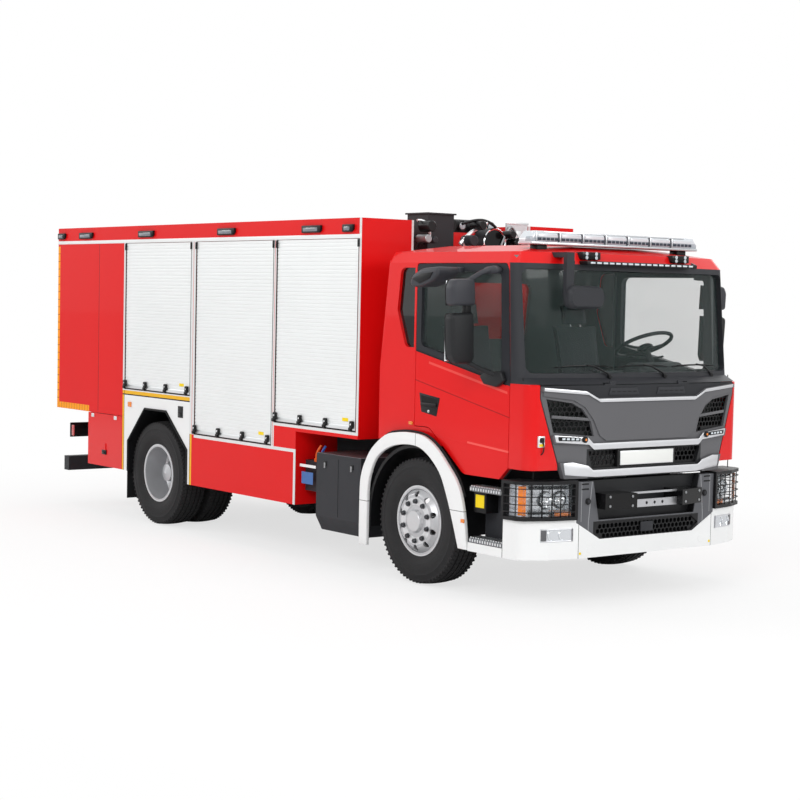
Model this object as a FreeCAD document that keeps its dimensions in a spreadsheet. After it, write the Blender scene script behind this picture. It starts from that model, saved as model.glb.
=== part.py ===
import FreeCAD, Part
import math
import os

import Sketcher

# A two-axle rescue fire engine: a day cab ahead of a locker body on a ladder frame.
# Driving sizes are millimetres. Heights are measured from the ground and lengths from
# the front axle, forward positive. Widths are measured out from the centre line.

SIZES = {
    # Running gear
    "wheelbase": 4350,
    "rear_reach": 6620,
    "front_reach": 1640,
    "tyre_radius": 536,
    "tyre_width": 300,
    "tread_crown": 8,
    "shoulder_drop": 26,
    "bead_width": 236,
    "rim_radius": 298,
    "rim_barrel_radius": 284,
    "rim_wall": 14,
    "rim_width": 250,
    "rim_face_offset": 158,
    "disc_thickness": 14,
    "nut_circle_radius": 167,
    "hub_radius": 135,
    "hub_cap_radius": 88,
    "hub_cap_height": 26,
    "nut_radius": 16,
    "nut_height": 22,
    "hand_hole_radius": 25,
    "hand_hole_circle_radius": 226,
    "front_tyre_centre": 1058,
    "rear_tyre_centre": 1070,
    "dual_spacing": 346,
    "kingpin_centre": 880,
    "kingpin_radius": 24,
    "bearing_gap": 0.05,
    "body_gap": 0.3,
    "spindle_radius": 45,
    # Frame
    "frame_half_width": 385,
    "rail_flange": 75,
    "rail_web": 9,
    "rail_bottom": 800,
    "rail_height": 270,
    "frame_front": 1370,
    "frame_rear": 6430,
    "cross_member_depth": 120,
    "cab_mount_front": 1000,
    "cab_mount_rear": 460,
    "cab_mount_length": 100,
    # Springs and axles
    "spring_width": 80,
    "spring_leaf": 22,
    "spring_half_length": 780,
    "spring_eye_height": 745,
    "spring_eye_radius": 38,
    "front_axle_depth": 105,
    "front_axle_drop": 90,
    "front_axle_breadth": 100,
    "eye_radius": 50,
    "eye_height": 110,
    "knuckle_gap": 5,
    "knuckle_thickness": 38,
    "steering_arm_length": 200,
    "steering_arm_width": 44,
    "tie_rod_radius": 18,
    "ball_pin_radius": 14,
    "rear_axle_tube_radius": 74,
    "rear_axle_ball_radius": 225,
    "prop_shaft_radius": 55,
    "engine_rear": 260,
    "engine_front": 980,
    "engine_half_width": 270,
    "engine_bottom": 520,
    "engine_top": 1130,
    "engine_mount_ahead": 700,
    "engine_mount_length": 120,
    # Cab shell
    "cab_half_width": 1190,
    "cab_rear": 612,
    "cab_rear_top": 500,
    "cab_floor": 1190,
    "cab_floor_thickness": 60,
    "cab_wall": 60,
    "cab_roof_edge": 2790,
    "cab_roof_top": 2850,
    "roof_camber_inset": 330,
    "cab_nose": 1462,
    "cab_nose_side": 1375,
    "cab_nose_height": 1745,
    "screen_foot": 1380,
    "screen_foot_side": 1255,
    "screen_foot_height": 1800,
    "screen_head": 1290,
    "screen_head_side": 1165,
    "screen_head_height": 2700,
    "roof_front": 1250,
    "roof_front_side": 1120,
    "roof_half_width": 1130,
    "cab_corner_radius": 110,
    "cab_rear_radius": 50,
    "cab_bow_radius": 1000,
    # Openings of the cab
    "door_rear": 76,
    "door_front": 1085,
    "door_front_foot": 1125,
    "door_top": 2690,
    "door_sill": 985,
    "door_rear_sill": 1335,
    "door_arch_start": 120,
    "door_arch_end": 500,
    "door_gap": 6,
    "hinge_height": 80,
    "hinge_low": 1250,
    "hinge_high": 1600,
    "door_window_bottom": 1800,
    "door_window_rear_drop": 210,
    "window_frame": 62,
    "glass_thickness": 6,
    "quarter_rear": 300,
    "quarter_bottom": 1990,
    "quarter_waist": 2300,
    "quarter_bulge": 45,
    "screen_half_width": 1140,
    "screen_bottom": 1835,
    "screen_top": 2655,
    "corner_panel_foot": 1080,
    "rear_window_half_width": 430,
    "rear_window_bottom": 2050,
    "rear_window_top": 2550,
    # Front end
    "grille_top": 1745,
    "grille_bottom": 1010,
    "grille_half_width": 1095,
    "grille_foot_half_width": 880,
    "grille_shoulder_drop": 100,
    "grille_gap": 3,
    "hatch_wall": 22,
    "hatch_gap": 10,
    "hatch_pin_radius": 9,
    "hatch_barrel_length": 60,
    "hatch_hinge_centre": 420,
    "band_height": 20,
    "panel_height": 12,
    "mesh_thickness": 8,
    "mesh_lap": 16,
    "mesh_cell": 26,
    "mesh_web": 9,
    "mesh_hole_inset": 12,
    "lower_mesh_top": 652,
    "lower_mesh_bottom": 530,
    "lower_mesh_half_width": 600,
    "lower_mesh_depth": 12,
    "lower_mesh_hole_depth": 30,
    "bumper_front": 1500,
    "bumper_half_width": 1250,
    "bumper_flat_half_width": 760,
    "bumper_shoulder": 1440,
    "bumper_shoulder_half_width": 1040,
    "bumper_corner": 1330,
    "bumper_bottom": 380,
    "bumper_top": 690,
    "bumper_wall": 45,
    "centre_bumper_bottom": 522,
    "centre_bumper_knee": 665,
    "centre_bumper_top": 985,
    "centre_bumper_half_width": 785,
    "centre_bumper_foot_half_width": 530,
    "centre_bumper_depth": 130,
    "bumper_recess_depth": 70,
    "bumper_recess_bottom": 675,
    "bumper_recess_foot_half_width": 545,
    "bumper_recess_half_width": 620,
    "lamp_bottom": 690,
    "lamp_top": 1000,
    "lamp_depth": 160,
    "lamp_inner": 790,
    "lamp_border": 30,
    "lamp_bowl_depth": 70,
    "lamp_bowl_radius": 62,
    "guard_wire": 7,
    "guard_stand_off": 24,
    "guard_rail": 26,
    "guard_lap": 12,
    "fog_inner": 810,
    "fog_outer": 1090,
    "fog_bottom": 520,
    "fog_top": 625,
    "bracket_inner": 260,
    "bracket_outer": 552,
    "bracket_bottom": 765,
    "bracket_top": 890,
    "bracket_front": 1578,
    "bracket_nose": 1640,
    "hitch_plate_thickness": 16,
    "hitch_hole_radius": 13,
    "hitch_hole_pitch": 90,
    # Arches and steps
    "fender_half_width": 1262,
    "fender_inner_half_width": 1228,
    "fender_rear": 748,
    "fender_front": 725,
    "fender_top": 1280,
    "fender_leg_bottom": 250,
    "fender_band": 115,
    "liner_inner_half_width": 760,
    "liner_clearance": 615,
    "liner_wall": 30,
    "step_front": 1150,
    "step_inner_half_width": 900,
    "step_half_width": 1240,
    "step_upper": 900,
    "step_lower": 485,
    "step_tread": 35,
    # Cab fittings
    "mirror_inner": 1330,
    "mirror_outer": 1580,
    "mirror_rear": 760,
    "mirror_depth": 110,
    "mirror_upper_bottom": 2350,
    "mirror_upper_top": 2570,
    "mirror_lower_bottom": 1890,
    "mirror_lower_top": 2300,
    "mirror_corner": 40,
    "mirror_tuck": 22,
    "mirror_arm_radius": 16,
    "kerb_mirror_rear": 150,
    "kerb_mirror_front": 540,
    "kerb_mirror_inner": 1230,
    "kerb_mirror_outer": 1470,
    "kerb_mirror_bottom": 2490,
    "kerb_mirror_top": 2665,
    "front_mirror_inner": 450,
    "front_mirror_outer": 840,
    "front_mirror_bottom": 2345,
    "front_mirror_top": 2530,
    "front_mirror_rear": 1330,
    "front_mirror_depth": 90,
    "light_bar_half_width": 1020,
    "light_bar_bottom": 2880,
    "light_bar_top": 2985,
    "light_bar_rear": 840,
    "light_bar_front": 1110,
    "light_bar_plinth": 30,
    "light_bar_slope": 70,
    "light_bar_gap": 8,
    "work_bar_half_width": 620,
    "work_bar_height": 2712,
    "work_lamp_inner": 410,
    "work_lamp_outer": 612,
    "work_lamp_bottom": 2738,
    "work_lamp_top": 2802,
    "work_lamp_front": 1302,
    # Inside the cab
    "seat_width": 500,
    "seat_depth": 480,
    "seat_front": 560,
    "seat_height": 1690,
    "seat_pad": 120,
    "seat_back_top": 2370,
    "seat_centre": 640,
    "dash_rear": 930,
    "dash_top": 1790,
    "dash_bottom": 1420,
    "wheel_ring_radius": 235,
    "wheel_rim_radius": 17,
    "steering_wheel_x": 760,
    "steering_wheel_height": 1890,
    # Locker body
    "body_half_width": 1250,
    "body_rear": 6555,
    "body_front": 800,
    "body_top": 3090,
    "trim_height": 2912,
    "body_floor": 1160,
    "locker_inner": 677,
    "deck_height": 2600,
    "deck_tread": 4,
    "deck_margin": 60,
    "body_wall": 34,
    "bay_one_rear": 4995,
    "bay_one_front": 3647,
    "bay_two_rear": 3562,
    "bay_two_front": 2166,
    "bay_three_rear": 2122,
    "bay_three_front": 830,
    "bay_one_sill": 1373,
    "bay_two_sill": 996,
    "bay_three_sill": 1219,
    "skirt_front": 1760,
    "skirt_bottom": 486,
    "skirt_inner": 780,
    "flap_rear": 5806,
    "flap_front": 5035,
    "flap_bottom": 512,
    "flap_top": 1082,
    "flap_thickness": 30,
    "flap_locker_inner": 800,
    "flap_hinge_rear": 5660,
    "flap_hinge_front": 5190,
    "arch_rear": 4900,
    "arch_front": 3690,
    "arch_top": 1190,
    "arch_shoulder": 830,
    "arch_flat_rear": 4550,
    "arch_flat_front": 4110,
    "shutter_thickness": 26,
    "shutter_inset": 8,
    "rear_shutter_half_width": 600,
    "rear_shutter_bottom": 1240,
    "rear_shutter_top": 2530,
    # Chassis boxes
    "side_box_rear": 1466,
    "side_box_front": 790,
    "side_box_bottom": 290,
    "side_box_top": 990,
    "side_box_inner": 640,
    "side_box_outer": 1215,
    "side_box_crease": 420,
    "side_box_tuck": 70,
    "small_box_rear": 1740,
    "small_box_bottom": 620,
    "small_box_top": 900,
    # Rear
    "underrun_bottom": 370,
    "underrun_top": 530,
    "underrun_rear": 6560,
    "underrun_depth": 110,
    "underrun_half_width": 1150,
    "tail_inner": 800,
    "tail_outer": 1090,
    "tail_bottom": 730,
    "tail_top": 910,
    "tail_depth": 120,
    "mudflap_thickness": 10,
    "mudflap_bottom": 215,
    "mudflap_inner": 560,
    "mudflap_outer": 1225,
    "mudflap_behind": 600,
    "ladder_inner": 720,
    "ladder_outer": 1080,
    "ladder_rail_radius": 16,
    "ladder_stand_off": 65,
    # Gear behind the cab
    "mast_pivot_height": 3072,
    "mast_pivot_x": 2190,
    "mast_head_x": 1032,
    "mast_y": 120,
    "mast_arm_radius": 45,
    "mast_head_half_width": 330,
    "mast_head_radius": 60,
    "gear_box_x": 1000,
    "gear_box_half_width": 150,
    "gear_box_centre": 330,
    "gear_box_top": 3170,
    "gear_box_lid": 14,
    "gear_box_lip": 16,
    "horn_radius": 132,
    "horn_length": 150,
    "horn_centre": 260,
    "horn_height": 2925,
    "gear_plate_inner": 410,
    "gear_plate_outer": 700,
    "gear_plate_top": 3110,
    "gear_plate_thickness": 20,
    "scene_lamp_length": 300,
    "scene_lamp_bottom": 2974,
    "scene_lamp_height": 54,
    "scene_lamp_one": 5870,
    "scene_lamp_two": 4545,
    "scene_lamp_three": 2985,
    "scene_lamp_four": 1540,
}


class Length:
    """A named size or a sum of sizes: the text binds the model and the value starts it."""

    def __init__(self, text, value):
        self.text = text
        self.value = float(value)

    @staticmethod
    def of(other):
        return other if isinstance(other, Length) else Length(repr(float(other)), other)

    def _join(self, sign, other, value):
        return Length(f"({self.text} {sign} {other.text})", value)

    def __add__(self, other):
        other = Length.of(other)
        return self._join("+", other, self.value + other.value)

    def __radd__(self, other):
        return Length.of(other) + self

    def __sub__(self, other):
        other = Length.of(other)
        return self._join("-", other, self.value - other.value)

    def __rsub__(self, other):
        return Length.of(other) - self

    def __mul__(self, share):
        return Length(f"({self.text} * {float(share)!r})", self.value * share)

    __rmul__ = __mul__

    def __truediv__(self, share):
        return Length(f"({self.text} / {float(share)!r})", self.value / share)

    def __neg__(self):
        return Length(f"(-1 * {self.text})", -self.value)


class DrivingSizes:
    """The driving sizes, read by name."""

    def __init__(self, document, sizes):
        self.page = document.addObject("Spreadsheet::Sheet", "Sizes")
        for row, (name, value) in enumerate(sizes.items(), start=1):
            self.page.set(f"A{row}", name)
            self.page.set(f"B{row}", str(value))
            self.page.setAlias(f"B{row}", name)
            setattr(self, name, Length(f"Sizes.{name}", value))
        document.recompute()


os.makedirs("parts", exist_ok=True)
doc = FreeCAD.newDocument("fire_engine")
s = DrivingSizes(doc, SIZES)
ZERO = Length("0.0", 0.0)
# The origin is the middle of the vehicle's length, on the ground.
axle_x = (s.rear_reach - s.front_reach) / 2
sub_parts = {}

# Counts, and shares of the sizes they are used with
CAB_BOW_SHARE = 0.52
ARCH_REAR_SHARE = 0.56
ARCH_LEAN_SHARE = 0.72
ARCH_FRONT_SHARE = 0.62
LINER_ROUND_SHARE = 0.92
LADDER_RUNGS = 7
LIGHT_BAR_CELLS = 7
NUT_COUNT = 10
HAND_HOLE_COUNT = 10
SIDEWALL_SHARE = 0.9
SHOULDER_SHARE = 0.93
TREAD_SHARE = 0.78
RUNG_SHARE = 0.8
MIRROR_SWELL_SHARE = 0.7
MIRROR_CORNER_SHARE = 1.5

PLANES = {"XY": ("XY_Plane", 2, 1), "XZ": ("XZ_Plane", 1, -1), "YZ": ("YZ_Plane", 0, 1)}
AXES = {"X": FreeCAD.Vector(1, 0, 0), "Y": FreeCAD.Vector(0, 1, 0), "Z": FreeCAD.Vector(0, 0, 1)}


def place(item, x=ZERO, y=ZERO, z=ZERO):
    """Bind an object's place to the driving sizes."""
    for letter, length in zip("xyz", (x, y, z)):
        item.setExpression(f".Placement.Base.{letter}", Length.of(length).text)
    return item


def block(name, x, y, z):
    """A box between two lengths along each axis."""
    item = doc.addObject("Part::Box", name)
    for side, (low, high) in zip(("Length", "Width", "Height"), (x, y, z)):
        item.setExpression(side, (Length.of(high) - low).text)
    return place(item, x[0], y[0], z[0])


def rod(name, axis, start, radius, length):
    """A round bar that leaves its start along one axis."""
    item = doc.addObject("Part::Cylinder", name)
    item.setExpression("Radius", radius.text)
    item.setExpression("Height", Length.of(length).text)
    item.Placement.Rotation = FreeCAD.Rotation(AXES["Z"], AXES[axis])
    return place(item, *start)


def corner_arc(before, corner, after, radius):
    """The centre, the two touching points and the turn of a rounded corner."""
    to_before = (before - corner).normalize()
    to_after = (after - corner).normalize()
    half = to_before.getAngle(to_after) / 2
    reach = radius / math.tan(half)
    middle = (to_before + to_after).normalize() * (radius / math.sin(half))
    turn = to_before.cross(to_after).z
    return corner + middle, corner + to_before * reach, corner + to_after * reach, turn


def draw_outline(sketch, points):
    """Draw a closed outline and bind its corners; a third entry rounds a corner."""
    flat = [FreeCAD.Vector(Length.of(p[0]).value, Length.of(p[1]).value, 0) for p in points]
    count = len(points)
    arcs = {}
    for i, point in enumerate(points):
        if len(point) > 2:
            arcs[i] = corner_arc(flat[i - 1], flat[i], flat[(i + 1) % count], point[2].value)
    lines = []
    for i in range(count):
        j = (i + 1) % count
        start = arcs[i][2] if i in arcs else flat[i]
        end = arcs[j][1] if j in arcs else flat[j]
        lines.append(sketch.addGeometry(Part.LineSegment(start, end), False))
    for i, point in enumerate(points):
        into, away = lines[i - 1], lines[i]
        if i in arcs:
            centre, first, last, turn = arcs[i]
            if turn > 0:
                first, last = last, first
            angles = [math.atan2((v - centre).y, (v - centre).x) for v in (first, last)]
            circle = Part.Circle(centre, AXES["Z"], point[2].value)
            arc = sketch.addGeometry(Part.ArcOfCircle(circle, *angles), False)
            mark = sketch.addGeometry(Part.Point(flat[i]), True)
            ends = (1, 2) if turn <= 0 else (2, 1)
            sketch.addConstraint(Sketcher.Constraint("Tangent", into, 2, arc, ends[0]))
            sketch.addConstraint(Sketcher.Constraint("Tangent", arc, ends[1], away, 1))
            sketch.addConstraint(Sketcher.Constraint("PointOnObject", mark, 1, into))
            sketch.addConstraint(Sketcher.Constraint("PointOnObject", mark, 1, away))
            bind(sketch, Sketcher.Constraint("Radius", arc, point[2].value), point[2], f"radius{i}")
            held = (mark, 1)
        else:
            sketch.addConstraint(Sketcher.Constraint("Coincident", into, 2, away, 1))
            held = (away, 1)
        for kind, length in zip(("DistanceX", "DistanceY"), point[:2]):
            length = Length.of(length)
            rule = Sketcher.Constraint(kind, -1, 1, held[0], held[1], length.value)
            bind(sketch, rule, length, f"{kind}{i}")


def bind(sketch, rule, length, name):
    """Add a constraint under a name and bind it to its driving size."""
    index = sketch.addConstraint(rule)
    sketch.renameConstraint(index, name)
    sketch.setExpression(f"Constraints.{name}", length.text)


def sketched_body(name, plane, outlines):
    """A body with one sketch on an origin plane, holding one or more outlines."""
    body = doc.addObject("PartDesign::Body", name)
    planes = {feature.Role: feature for feature in body.Origin.OriginFeatures}
    sketches = []
    for number, outline in enumerate(outlines):
        sketch = body.newObject("Sketcher::SketchObject", f"{name}_outline{number}")
        sketch.AttachmentSupport = [(planes[PLANES[plane][0]], "")]
        sketch.MapMode = "FlatFace"
        draw_outline(sketch, outline)
        sketches.append(sketch)
    return body, sketches


def prism(name, plane, outline, low, high):
    """An outline drawn on a plane and padded between two lengths across it."""
    body, (sketch,) = sketched_body(name, plane, [outline])
    pad = body.newObject("PartDesign::Pad", f"{name}_pad")
    pad.Profile = sketch
    pad.setExpression("Length", (Length.of(high) - low).text)
    sketch.Visibility = False
    across = PLANES[plane][1]
    offset = [ZERO, ZERO, ZERO]
    offset[across] = high if PLANES[plane][2] < 0 else low
    return place(body, *offset)


def turned(name, profile, centre):
    """A profile of widths and radii revolved about a line along Y through a centre."""
    body, (sketch,) = sketched_body(name, "YZ", [profile])
    turn = body.newObject("PartDesign::Revolution", f"{name}_turn")
    turn.Profile = sketch
    turn.ReferenceAxis = (sketch, ["H_Axis"])
    turn.Angle = 360
    sketch.Visibility = False
    return place(body, *centre)


def joined(kind, name, items):
    """A boolean or a compound of several objects."""
    item = doc.addObject(kind, name)
    if kind == "Part::Compound":
        item.Links = items
    else:
        item.Shapes = items
    return item


def group(name, items):
    return joined("Part::Compound", name, items)


def fused(name, items):
    item = joined("Part::MultiFuse", name, items)
    item.Refine = True
    return item


def shared(name, items):
    return joined("Part::MultiCommon", name, items)


def cut(name, base, tools):
    """The base less one tool or several."""
    item = doc.addObject("Part::Cut", name)
    item.Base = base
    item.Tool = tools if not isinstance(tools, list) else group(f"{name}_tools", tools)
    return item


def mirrored(name, source):
    """The same piece on the other side of the centre line."""
    item = doc.addObject("Part::Mirroring", name)
    item.Source = source
    item.Normal = AXES["Y"]
    return item


def both_sides(name, make):
    """A right-hand piece and its left-hand twin."""
    right = make(f"{name}_right_form")
    return right, mirrored(f"{name}_left_form", right)


def sub_part(label, items):
    """One named piece of the vehicle, measured from the front axle."""
    item = group(f"{label}_part", items if isinstance(items, list) else [items])
    item.Label = label
    place(item, axle_x)
    sub_parts[label] = item
    return item


def sided(label, make):
    """A piece on the right and its twin on the left, each a sub-part of its own."""
    right, left = both_sides(label, make)
    sub_part(f"{label}_right", right)
    sub_part(f"{label}_left", left)


# Ladder frame and what hangs on it

def frame_rail(name):
    top = s.rail_bottom + s.rail_height
    outer = block(f"{name}_solid", (-s.frame_rear, s.frame_front),
                  (-s.frame_half_width, s.rail_flange - s.frame_half_width),
                  (s.rail_bottom, top))
    hollow = block(f"{name}_hollow", (-s.frame_rear - s.rail_web, s.frame_front + s.rail_web),
                   (s.rail_web - s.frame_half_width, s.rail_flange + s.rail_web - s.frame_half_width),
                   (s.rail_bottom + s.rail_web, top - s.rail_web))
    return cut(name, outer, hollow)


def chassis():
    right, left = both_sides("frame_rail", frame_rail)
    places = (s.frame_rear - s.rail_web, s.wheelbase + s.spring_half_length,
              s.wheelbase - s.spring_half_length, s.bay_two_front, s.side_box_front)
    members = []
    for number, x in enumerate(places):
        members.append(block(f"cross_member{number}", (-x, -x + s.rail_flange),
                             (s.rail_web - s.frame_half_width, s.frame_half_width - s.rail_web),
                             (s.rail_bottom + s.rail_height / 2 - s.cross_member_depth / 2,
                              s.rail_bottom + s.rail_height / 2 + s.cross_member_depth / 2)))
    for number, x in enumerate((s.cab_mount_front, -s.cab_mount_rear)):
        mount = block(f"cab_mount{number}", (x - s.cab_mount_length, x),
                      (-s.frame_half_width, s.rail_flange - s.frame_half_width),
                      (s.rail_bottom + s.rail_height, s.cab_floor))
        members += [mount, mirrored(f"cab_mount{number}_left", mount)]
    sub_part("chassis_frame", fused("ladder_frame", [right, left] + members))
    engine = block("engine_form", (-s.engine_rear, s.engine_front),
                   (-s.engine_half_width, s.engine_half_width),
                   (s.engine_bottom, s.engine_top))
    inner = s.frame_half_width - s.rail_flange
    mounts = block("engine_mounts", (s.engine_mount_ahead - s.engine_mount_length, s.engine_mount_ahead),
                   (-inner, inner), (s.rail_bottom, s.rail_bottom + s.rail_flange))
    sub_part("engine_block", fused("engine_whole", [engine, mounts]))


def leaf_spring(name, x, seat):
    """A leaf spring from eye to eye under the right-hand rail, seated on its axle."""
    inner = s.frame_half_width - s.spring_width
    bend = s.spring_half_length / 2
    leaf = prism(f"{name}_leaf", "XZ",
                 [(x - s.spring_half_length, s.spring_eye_height),
                  (x, seat, bend),
                  (x + s.spring_half_length, s.spring_eye_height),
                  (x + s.spring_half_length, s.spring_eye_height + s.spring_leaf),
                  (x, seat + s.spring_leaf * 2, bend),
                  (x - s.spring_half_length, s.spring_eye_height + s.spring_leaf)],
                 -s.frame_half_width, -inner)
    hangers = [block(f"{name}_seat", (x - s.spring_eye_radius, x + s.spring_eye_radius),
                     (-s.frame_half_width, -inner), (seat, seat + s.spring_leaf * 2))]
    for number, side in enumerate((-1, 1)):
        end = x + s.spring_half_length * side
        hangers.append(rod(f"{name}_eye{number}", "Y", (end, -s.frame_half_width, s.spring_eye_height),
                           s.spring_eye_radius, s.spring_width))
        hangers.append(block(f"{name}_hanger{number}",
                             (end - s.spring_eye_radius, end + s.spring_eye_radius),
                             (-s.frame_half_width, -inner), (s.spring_eye_height, s.rail_bottom)))
    return fused(name, [leaf] + hangers)


def axle_springs(name, x, seat):
    right = leaf_spring(f"{name}_right", x, seat)
    return [right, mirrored(f"{name}_left", right)]


def front_axle():
    centre = s.tyre_radius
    low = centre - s.front_axle_drop - s.front_axle_depth / 2
    high = low + s.front_axle_depth
    eye = s.eye_height / 2
    reach = s.kingpin_centre - s.eye_radius
    half = [(reach - s.eye_radius * 2, low), (reach, centre - eye), (s.kingpin_centre, centre - eye),
            (s.kingpin_centre, centre + eye), (reach, centre + eye), (reach - s.eye_radius * 3, high)]
    outline = half + [(-y, z) for y, z in reversed(half)]
    breadth = s.front_axle_breadth / 2
    parts = [prism("beam", "YZ", outline, -breadth, breadth)]
    for number, side in enumerate((-1, 1)):
        y = s.kingpin_centre * side
        parts.append(rod(f"beam_eye{number}", "Z", (ZERO, y, centre - eye), s.eye_radius, s.eye_height))
        pin = eye + s.knuckle_gap + s.knuckle_thickness
        parts.append(rod(f"kingpin{number}", "Z", (ZERO, y, centre - pin), s.kingpin_radius, pin * 2))
    sub_part("front_axle", fused("front_axle_form", parts + axle_springs("front_spring", ZERO, high)))


def rear_axle():
    x = -s.wheelbase
    height = s.tyre_radius
    end = s.rear_tyre_centre - s.dual_spacing - s.rim_width / 2
    parts = [rod("axle_tube", "Y", (x, -end, height), s.rear_axle_tube_radius, end * 2),
             rod("axle_spindle", "Y", (x, -s.rear_tyre_centre, height), s.spindle_radius,
                 s.rear_tyre_centre * 2)]
    ball = doc.addObject("Part::Sphere", "axle_ball")
    ball.setExpression("Radius", s.rear_axle_ball_radius.text)
    place(ball, x, ZERO, height)
    shaft_rise = s.rail_bottom - height
    shaft_run = s.wheelbase - s.engine_rear - s.knuckle_gap
    shaft = doc.addObject("Part::Cylinder", "prop_shaft")
    shaft.setExpression("Radius", s.prop_shaft_radius.text)
    shaft.setExpression("Height", f"sqrt(({shaft_rise.text})^2 + ({shaft_run.text})^2)")
    place(shaft, x, ZERO, height)
    shaft.setExpression(".Placement.Rotation.Axis.x", "0")
    shaft.setExpression(".Placement.Rotation.Axis.y", "1")
    shaft.setExpression(".Placement.Rotation.Axis.z", "0")
    shaft.setExpression(".Placement.Rotation.Angle", f"atan2({shaft_run.text}; {shaft_rise.text})")
    seat = height + s.rear_axle_tube_radius
    sub_part("rear_axle", fused("rear_axle_form", parts + [ball, shaft]
                                + axle_springs("rear_spring", x, seat - s.spring_leaf / 2)))


# Steering

def knuckle(name):
    """A forked steering knuckle with its spindle and its arm, on the right."""
    centre = s.tyre_radius
    y = -s.kingpin_centre
    eye = s.eye_height / 2
    half = s.front_axle_breadth / 2
    web_inner = y - s.eye_radius - s.knuckle_gap
    web_outer = web_inner - s.knuckle_thickness
    top = eye + s.knuckle_gap + s.knuckle_thickness
    parts = [block(f"{name}_web", (-half, half), (web_outer, web_inner), (centre - top, centre + top))]
    for number, (low, high) in enumerate(((-top, -eye - s.knuckle_gap), (eye + s.knuckle_gap, top))):
        parts.append(block(f"{name}_ear{number}", (-half, half), (web_inner, y),
                           (centre + low, centre + high)))
        parts.append(rod(f"{name}_boss{number}", "Z", (ZERO, y, centre + low), half, s.knuckle_thickness))
    end = s.front_tyre_centre + s.rim_face_offset / 2
    parts.append(rod(f"{name}_spindle", "Y", (ZERO, -end, centre), s.spindle_radius, end + web_inner))
    arm_width = s.steering_arm_width / 2
    parts.append(block(f"{name}_arm", (-s.steering_arm_length - arm_width, half),
                       (y - arm_width, y + arm_width),
                       (centre - top - s.knuckle_thickness / 2, centre - top + s.knuckle_thickness / 2)))
    solid = fused(f"{name}_solid", parts)
    pin_hole = rod(f"{name}_pin_hole", "Z", (ZERO, y, centre - top - s.knuckle_thickness),
                   s.kingpin_radius + s.bearing_gap, top * 2 + s.knuckle_thickness * 2)
    ball_hole = rod(f"{name}_ball_hole", "Z", (-s.steering_arm_length, y, centre - top * 2),
                    s.ball_pin_radius + s.bearing_gap, top * 2)
    return cut(name, solid, [pin_hole, ball_hole])


def tie_rod():
    """The track rod hangs under both steering arms on its ball pins."""
    centre = s.tyre_radius
    top = s.eye_height / 2 + s.knuckle_gap + s.knuckle_thickness
    arm_low = centre - top - s.knuckle_thickness / 2
    height = arm_low - s.knuckle_gap - s.tie_rod_radius
    x = -s.steering_arm_length
    parts = [rod("track_bar", "Y", (x, -s.kingpin_centre, height), s.tie_rod_radius, s.kingpin_centre * 2)]
    for number, side in enumerate((-1, 1)):
        parts.append(rod(f"ball_pin{number}", "Z", (x, s.kingpin_centre * side, height),
                         s.ball_pin_radius, s.tie_rod_radius + s.knuckle_gap + s.knuckle_thickness))
    sub_part("tie_rod", fused("tie_rod_form", parts))


# Wheels: widths count outward from the wheel's own middle

def barrel_points(half, inner):
    """The flanges and the outside of a rim, from its inner end to its outer end."""
    return [(half, inner), (half, s.rim_radius), (half - s.rim_wall, s.rim_radius),
            (half - s.rim_wall, s.rim_barrel_radius), (s.rim_wall - half, s.rim_barrel_radius),
            (s.rim_wall - half, s.rim_radius), (-half, s.rim_radius), (-half, inner)]


def ring_of(name, count, circle, radius, low, high, centre):
    """Round bars along Y, evenly spaced round a wheel."""
    bars = []
    for number in range(count):
        angle = 2 * math.pi * number / count
        x = centre[0] + circle * round(math.sin(angle), 6)
        z = centre[2] + circle * round(math.cos(angle), 6)
        bars.append(rod(f"{name}{number}", "Y", (x, centre[1] - high, z), radius, high - low))
    return bars


def front_rim(name):
    half = s.rim_width / 2
    inner = s.rim_barrel_radius - s.rim_wall
    face = s.rim_face_offset
    back = face - s.disc_thickness
    cap = face + s.hub_cap_height
    bore = s.spindle_radius + s.bearing_gap
    knuckle_face = s.kingpin_centre + s.eye_radius + s.knuckle_gap * 3 + s.knuckle_thickness
    hub_start = knuckle_face - s.front_tyre_centre
    bore_end = face / 2 + s.knuckle_gap
    disc_edge = s.hand_hole_circle_radius
    profile = [(-y, r) for y, r in barrel_points(half, inner)]
    disc = [(half - s.rim_wall * 3, inner), (back, disc_edge - s.rim_wall), (back, s.hub_radius),
            (hub_start, s.hub_radius), (hub_start, bore), (bore_end, bore), (bore_end, ZERO),
            (cap, ZERO), (cap, s.hub_cap_radius), (face, s.hub_cap_radius + s.hub_cap_height / 2),
            (face, disc_edge, s.hand_hole_radius), (half - s.rim_wall, inner)]
    outline = profile[::-1] + [(-point[0], *point[1:]) for point in disc]
    centre = (ZERO, -s.front_tyre_centre, s.tyre_radius)
    solid = turned(f"{name}_rim", outline, centre)
    nuts = ring_of(f"{name}_nut", NUT_COUNT, s.nut_circle_radius, s.nut_radius,
                   face, face + s.nut_height, centre)
    holes = ring_of(f"{name}_hand_hole", HAND_HOLE_COUNT, s.hand_hole_circle_radius,
                    s.hand_hole_radius, half / 2, face + s.nut_height, centre)
    return fused(name, [cut(f"{name}_pierced", solid, holes)] + nuts)


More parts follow.
